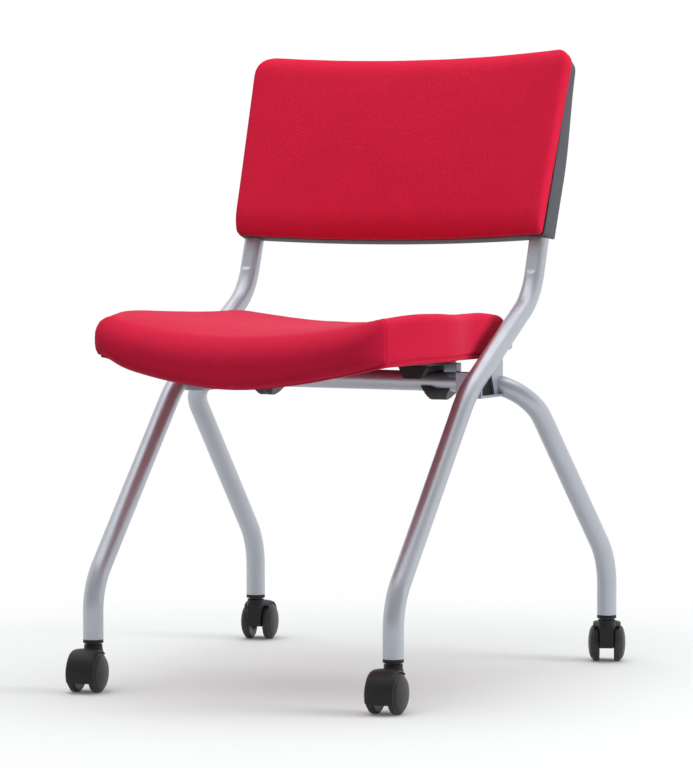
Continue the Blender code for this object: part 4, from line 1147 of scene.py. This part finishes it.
def hinges():
    along = (HIP - KNEE).normalized()
    turn = UPRIGHT.rotation_difference(Vector((0, along.z, -along.y))).to_matrix().to_4x4()
    for label, side in SIDES:
        clip = piece(f"{label}_ribbed_clip", clip_shape(side), CLIP, "seat",
                     [f"{label}_hinge_clip"])
        bevel(clip, CLIP_EDGE)
        piece(f"{label}_plate_form", plate_shape(side), STEEL, "seat",
              [f"{label}_hinge_plate"])
        plan = rectangle(side * STOP_X, STOP_HALF, BAR_Y - STOP_FRONT, BAR_Y - STOP_GAP, STOP_R, STOP_R, 15)
        stop = slab(plan, BAR_Z + TUBE_R + STOP_GAP, PLATE_Z + PLATE_T, STOP_EDGE)
        piece(f"{label}_stop_form", stop, STEEL, "frame", [f"{label}_seat_stop"])
        spot = KNEE + along * BUMPER_ALONG + Vector((side * LEG_X, 0, 0))
        bumper = moved(bumper_shape(), Matrix.Translation(spot) @ turn)
        piece(f"{label}_bumper_dome", bumper, RUBBER, "frame",
              [f"{label}_nesting_bumper"])


# Casters

def wheel_shape():
    """Domed wheel on Y, inner face first: tread with soft edges, a rim groove and a low dome."""
    profile = [(0, HUB_SINK), (HUB_R - 0.0005, HUB_SINK), (HUB_R, 0.0), (WHEEL_R - TREAD_IN_R, 0.0)]
    profile += [(WHEEL_R - TREAD_IN_R * i, TREAD_IN_R * d) for i, d in quarter(5)[::-1]]
    profile += [(WHEEL_R, TREAD_W - TREAD_OUT_R)]
    profile += [(WHEEL_R - TREAD_OUT_R * i, TREAD_W - TREAD_OUT_R * d) for i, d in quarter(4)]
    rim = WHEEL_R - WHEEL_RIM_IN
    profile += [(rim + WHEEL_GROOVE, TREAD_W - WHEEL_GROOVE), (rim, TREAD_W - WHEEL_GROOVE / 2)]
    dome = WHEEL_W - TREAD_W - WHEEL_DOME_GAP
    for k in range(1, 17):
        angle = math.pi / 2 * k / 16
        profile.append((rim * math.cos(angle) if k < 16 else 0, TREAD_W + dome * math.sin(angle)))
    return moved(lathe(profile, 72), Matrix.Rotation(math.radians(-90), 4, "X"))


def hood_shape():
    """Barrel-shaped hood over both wheels, with a thicker lip along its two rims."""
    inner = WHEEL_R + HOOD_CLEAR
    section = []
    for j in range(17):
        y = -HOOD_HALF + 2 * HOOD_HALF * j / 16
        share = abs(y) / HOOD_HALF
        crown = HOOD_CROWN * (1 - share ** 3)
        lip = HOOD_LIP * smooth((share - 0.86) / 0.06)
        edge = HOOD_EDGE * max(share - 0.985, 0) / 0.015
        section.append((y, inner + HOOD_T * 0.75 + crown + lip - edge))
    section += [(HOOD_HALF, inner + HOOD_SOFT), (HOOD_HALF - HOOD_SOFT, inner)]
    section += [(-HOOD_HALF + HOOD_SOFT, inner), (-HOOD_HALF, inner + HOOD_SOFT)]
    rings = []
    for k in range(HOOD_STEPS + 1):
        turn = blend(HOOD_LOW, HOOD_END, k / HOOD_STEPS)
        rings.append([(TRAIL + r * math.cos(turn), y, AXLE_Z + r * math.sin(turn)) for y, r in section])
    ends = [[tuple(sum(c) / len(ring) for c in zip(*ring))] for ring in (rings[0], rings[-1])]
    return loft([ends[0]] + rings + [ends[1]])


def web_shape():
    """Web between the wheels with the stem boss, from its side outline."""
    reach = WHEEL_R + HOOD_CLEAR + HOOD_T / 2
    outline = []
    for k in range(WEB_STEPS + 1):
        turn = blend(HOOD_LOW, WEB_END, k / WEB_STEPS)
        outline.append((TRAIL + reach * math.cos(turn), AXLE_Z + reach * math.sin(turn)))
    low = AXLE_Z + reach * math.sin(HOOD_LOW) + WEB_RISE
    outline.append((-BOSS_R, COLLAR_TOP - COLLAR_H + 0.002))
    outline.append((-BOSS_R, low + BOSS_R))
    outline += [(-BOSS_R + BOSS_R * 0.8 * inset, low + BOSS_R * drop) for inset, drop in quarter(6)[1:]]

    def ring(y, inset):
        result = []
        for point in outline:
            away = Vector(point) - WEB_MIDDLE
            place = WEB_MIDDLE + away * (1 - inset / max(away.length, 1e-6))
            result.append((place.x, y, place.y))
        return result

    inside = WEB_HALF - WEB_SOFT
    rings = [ring(-WEB_HALF, WEB_SOFT), ring(-inside, 0), ring(inside, 0), ring(WEB_HALF, WEB_SOFT)]
    ends = [[(WEB_MIDDLE.x, y, WEB_MIDDLE.y)] for y in (-WEB_HALF, WEB_HALF)]
    return loft([ends[0]] + rings + [ends[1]])


def collar_shape():
    low = COLLAR_TOP - COLLAR_H
    dish = COLLAR_TOP - COLLAR_DISH
    profile = [(0, low - 0.010), (BOSS_R - 0.0015, low - 0.010), (BOSS_R, low - 0.004)]
    profile += [(COLLAR_R + COLLAR_SOFT, low - 0.0002), (COLLAR_R, low + 0.0014)]
    profile += [(COLLAR_R, COLLAR_TOP - COLLAR_SOFT)]
    profile += [(COLLAR_R - COLLAR_SOFT * i, COLLAR_TOP - COLLAR_SOFT * d) for i, d in quarter(4)]
    profile += [(STEM_R + COLLAR_SOFT, COLLAR_TOP), (STEM_R + 0.0004, dish), (0, dish)]
    return lathe(profile, 56)


def socket_shape():
    top = LEG_END_Z - 0.0003
    low = top - RING_H
    profile = [(0, low + 0.0006), (STEM_R + 0.0006, low + 0.0006), (STEM_R + 0.001, low)]
    profile += [(TUBE_R - RING_SOFT * i, low + RING_SOFT * d) for i, d in quarter(4)[::-1]]
    profile += [(TUBE_R, top - 0.0005), (TUBE_R - 0.0004, top), (0, top)]
    return lathe(profile, 56)


def casters():
    wheel = moved(wheel_shape(), Matrix.Translation((0, WHEEL_SPACE, 0)))
    body = joined(hood_shape(), web_shape(), collar_shape())
    for name, (x, y, turn) in CASTERS.items():
        foot = Matrix.Translation((x, y, 0))
        place = foot @ Matrix.Rotation(turn, 4, "Z")
        piece(f"{name}_caster_hood", moved(body, place), BLACK, f"{name}_caster",
              [f"{name}_caster_body"], 38)
        piece(f"{name}_socket_ring", moved(socket_shape(), foot), BLACK, "frame",
              [f"{name}_socket"])
        hub = place @ Matrix.Translation((TRAIL, 0, AXLE_Z))
        for label, sign in (("outer", 1), ("inner", -1)):
            shape = moved(wheel, hub @ Matrix.Diagonal((1, sign, 1, 1)))
            node = f"{name}_{label}_wheel"
            piece(f"{node}_disc", shape, WHEEL, node, [node])


# CAD nodes that keep their shape get a soft edge and a finish

def finish_nodes():
    finishes = {
        "bracket": (SHEET_SILVER, 0.0007),
        # the bracket insert takes black plastic painted darker, as painted shade
        "bracket_insert": (INSERT_PAINTED_SHADE, 0.0005),
        "hinge_saddle": (BLACK, 0.0012),
        "axle": (SCREW, 0.0003),
        "stem": (SCREW, 0.0004),
        "back_board": (PLY, 0.0006),
    }
    prefixes = ["left_", "right_"] + [f"{name}_" for name in CASTERS]
    for name, obj in NODES.items():
        kind = name
        for prefix in prefixes:
            if name.startswith(prefix) and name[len(prefix):] in finishes:
                kind = name[len(prefix):]
        if kind not in finishes:
            continue
        material, width = finishes[kind]
        obj.data.materials.clear()
        obj.data.materials.append(material)
        bevel(obj, width)


# Stage: pale floor, white surround, soft lamps and the camera of the photograph

FLOOR_TONE = (0.78, 0.805, 0.805)
FLOOR_GLOW = 0.06
FLOOR_NEAR, FLOOR_FAR = 0.38, 1.0
WORLD_LOW, WORLD_HIGH = 0.73, 0.08
ROOM_AXIS = (-0.45, 0.89, 0)
ROOM_FRONT, ROOM_BACK, ROOM_DARK = -0.55, 0.25, 0.42
LAMPS = (
    ("overhead", (-0.2, 0.1, 2.7), (0, 0, 0.4), (3.4, 3.0), 33),
    ("fill", (-0.2, 0.1, 2.75), (0, 0, 0.4), (3.2, 2.8), 38),
    ("right", (2.5, 0.5, 0.8), (0, 0, 0.45), (1.3, 1.4), 46),
    ("front", (-0.5, -2.7, 2.3), (0, 0, 0.5), (2.6, 2.0), 13),
    ("bounce", (0.2, -1.0, 0.03), (0, -0.2, 0.5), (1.6, 0.8), 1.1),
)
MIRRORED = ("overhead",)
FLOOR_SIZE = 40.0
CAMERA_PLACE = (2.1257, -4.17065, 0.6358)
CAMERA_DOWN, CAMERA_TURN = 0.0562, 0.4691
CAMERA_SENSOR, CAMERA_LENS = 36, 172.58


def stage():
    scene = bpy.context.scene
    graph = Graph("floor", 0.9, Specular_IOR_Level=0.0, Emission_Color=(1, 1, 1))
    path = graph.add("ShaderNodeLightPath")
    seen = path.outputs["Is Camera Ray"]
    for ray in ("Is Glossy Ray", "Is Transmission Ray"):
        seen = graph.math("MAXIMUM", seen, path.outputs[ray])
    length = graph.add("ShaderNodeVectorMath", operation="LENGTH")
    graph.link(graph.place, length.inputs[0])
    soft = {"interpolation_type": "SMOOTHSTEP"}
    far = graph.spread(length.outputs["Value"], FLOOR_NEAR, FLOOR_FAR, 0, 1, **soft)
    graph.set("Base Color", graph.mix(far, FLOOR_TONE, (0, 0, 0)))
    graph.set("Emission Strength", graph.times(seen, graph.spread(far, 0, 1, FLOOR_GLOW, 1)))
    mesh = bpy.data.meshes.new("floor")
    corners = [(x * FLOOR_SIZE, y * FLOOR_SIZE, 0) for x, y in ((-1, -1), (1, -1), (1, 1), (-1, 1))]
    mesh.from_pydata(corners, [], [(0, 1, 2, 3)])
    mesh.materials.append(graph.material)
    floor = bpy.data.objects.new("floor", mesh)
    scene.collection.objects.link(floor)

    world = bpy.data.worlds.new("studio")
    scene.world = world
    sky = Nodes(world)
    path = sky.add("ShaderNodeLightPath")
    heading = sky.add("ShaderNodeTexCoord").outputs["Generated"]
    light = sky.spread(sky.along(heading, (0, 0, 1)), 0, 1, WORLD_LOW, WORLD_HIGH, **soft)
    room = sky.spread(sky.along(heading, ROOM_AXIS), ROOM_FRONT, ROOM_BACK, ROOM_DARK, 1, **soft)
    unseen = sky.spread(path.outputs["Is Glossy Ray"], 0, 1, light, room)
    back = sky.add("ShaderNodeBackground")
    back.inputs["Color"].default_value = (1, 1, 1, 1)
    sky.link(sky.spread(path.outputs["Is Camera Ray"], 0, 1, unseen, 1), back.inputs["Strength"])
    sky.link(back.outputs[0], sky.add("ShaderNodeOutputWorld").inputs["Surface"])

    for name, place, aim, size, power in LAMPS:
        lamp = bpy.data.lights.new(name, "AREA")
        lamp.shape = "RECTANGLE"
        lamp.size, lamp.size_y = size
        lamp.energy = power
        obj = bpy.data.objects.new(name, lamp)
        obj.location = place
        obj.rotation_euler = (Vector(aim) - Vector(place)).to_track_quat("-Z", "Y").to_euler()
        obj.visible_glossy = name in MIRRORED
        obj.visible_camera = False
        scene.collection.objects.link(obj)

    camera = bpy.data.cameras.new("camera")
    camera.sensor_width = CAMERA_SENSOR
    camera.lens = CAMERA_LENS
    camera.clip_end = 100
    obj = bpy.data.objects.new("camera", camera)
    obj.location = CAMERA_PLACE
    obj.rotation_euler = (math.pi / 2 - CAMERA_DOWN, 0, CAMERA_TURN)
    scene.collection.objects.link(obj)
    scene.camera = obj
    scene.view_settings.view_transform = "Standard"


for label, side in SIDES:
    side_tube(label, side)
rear_tube()
seat_cushion()
seat_board()
back_pad()
back_shell()
hinges()
screws()
casters()
finish_nodes()
stage()
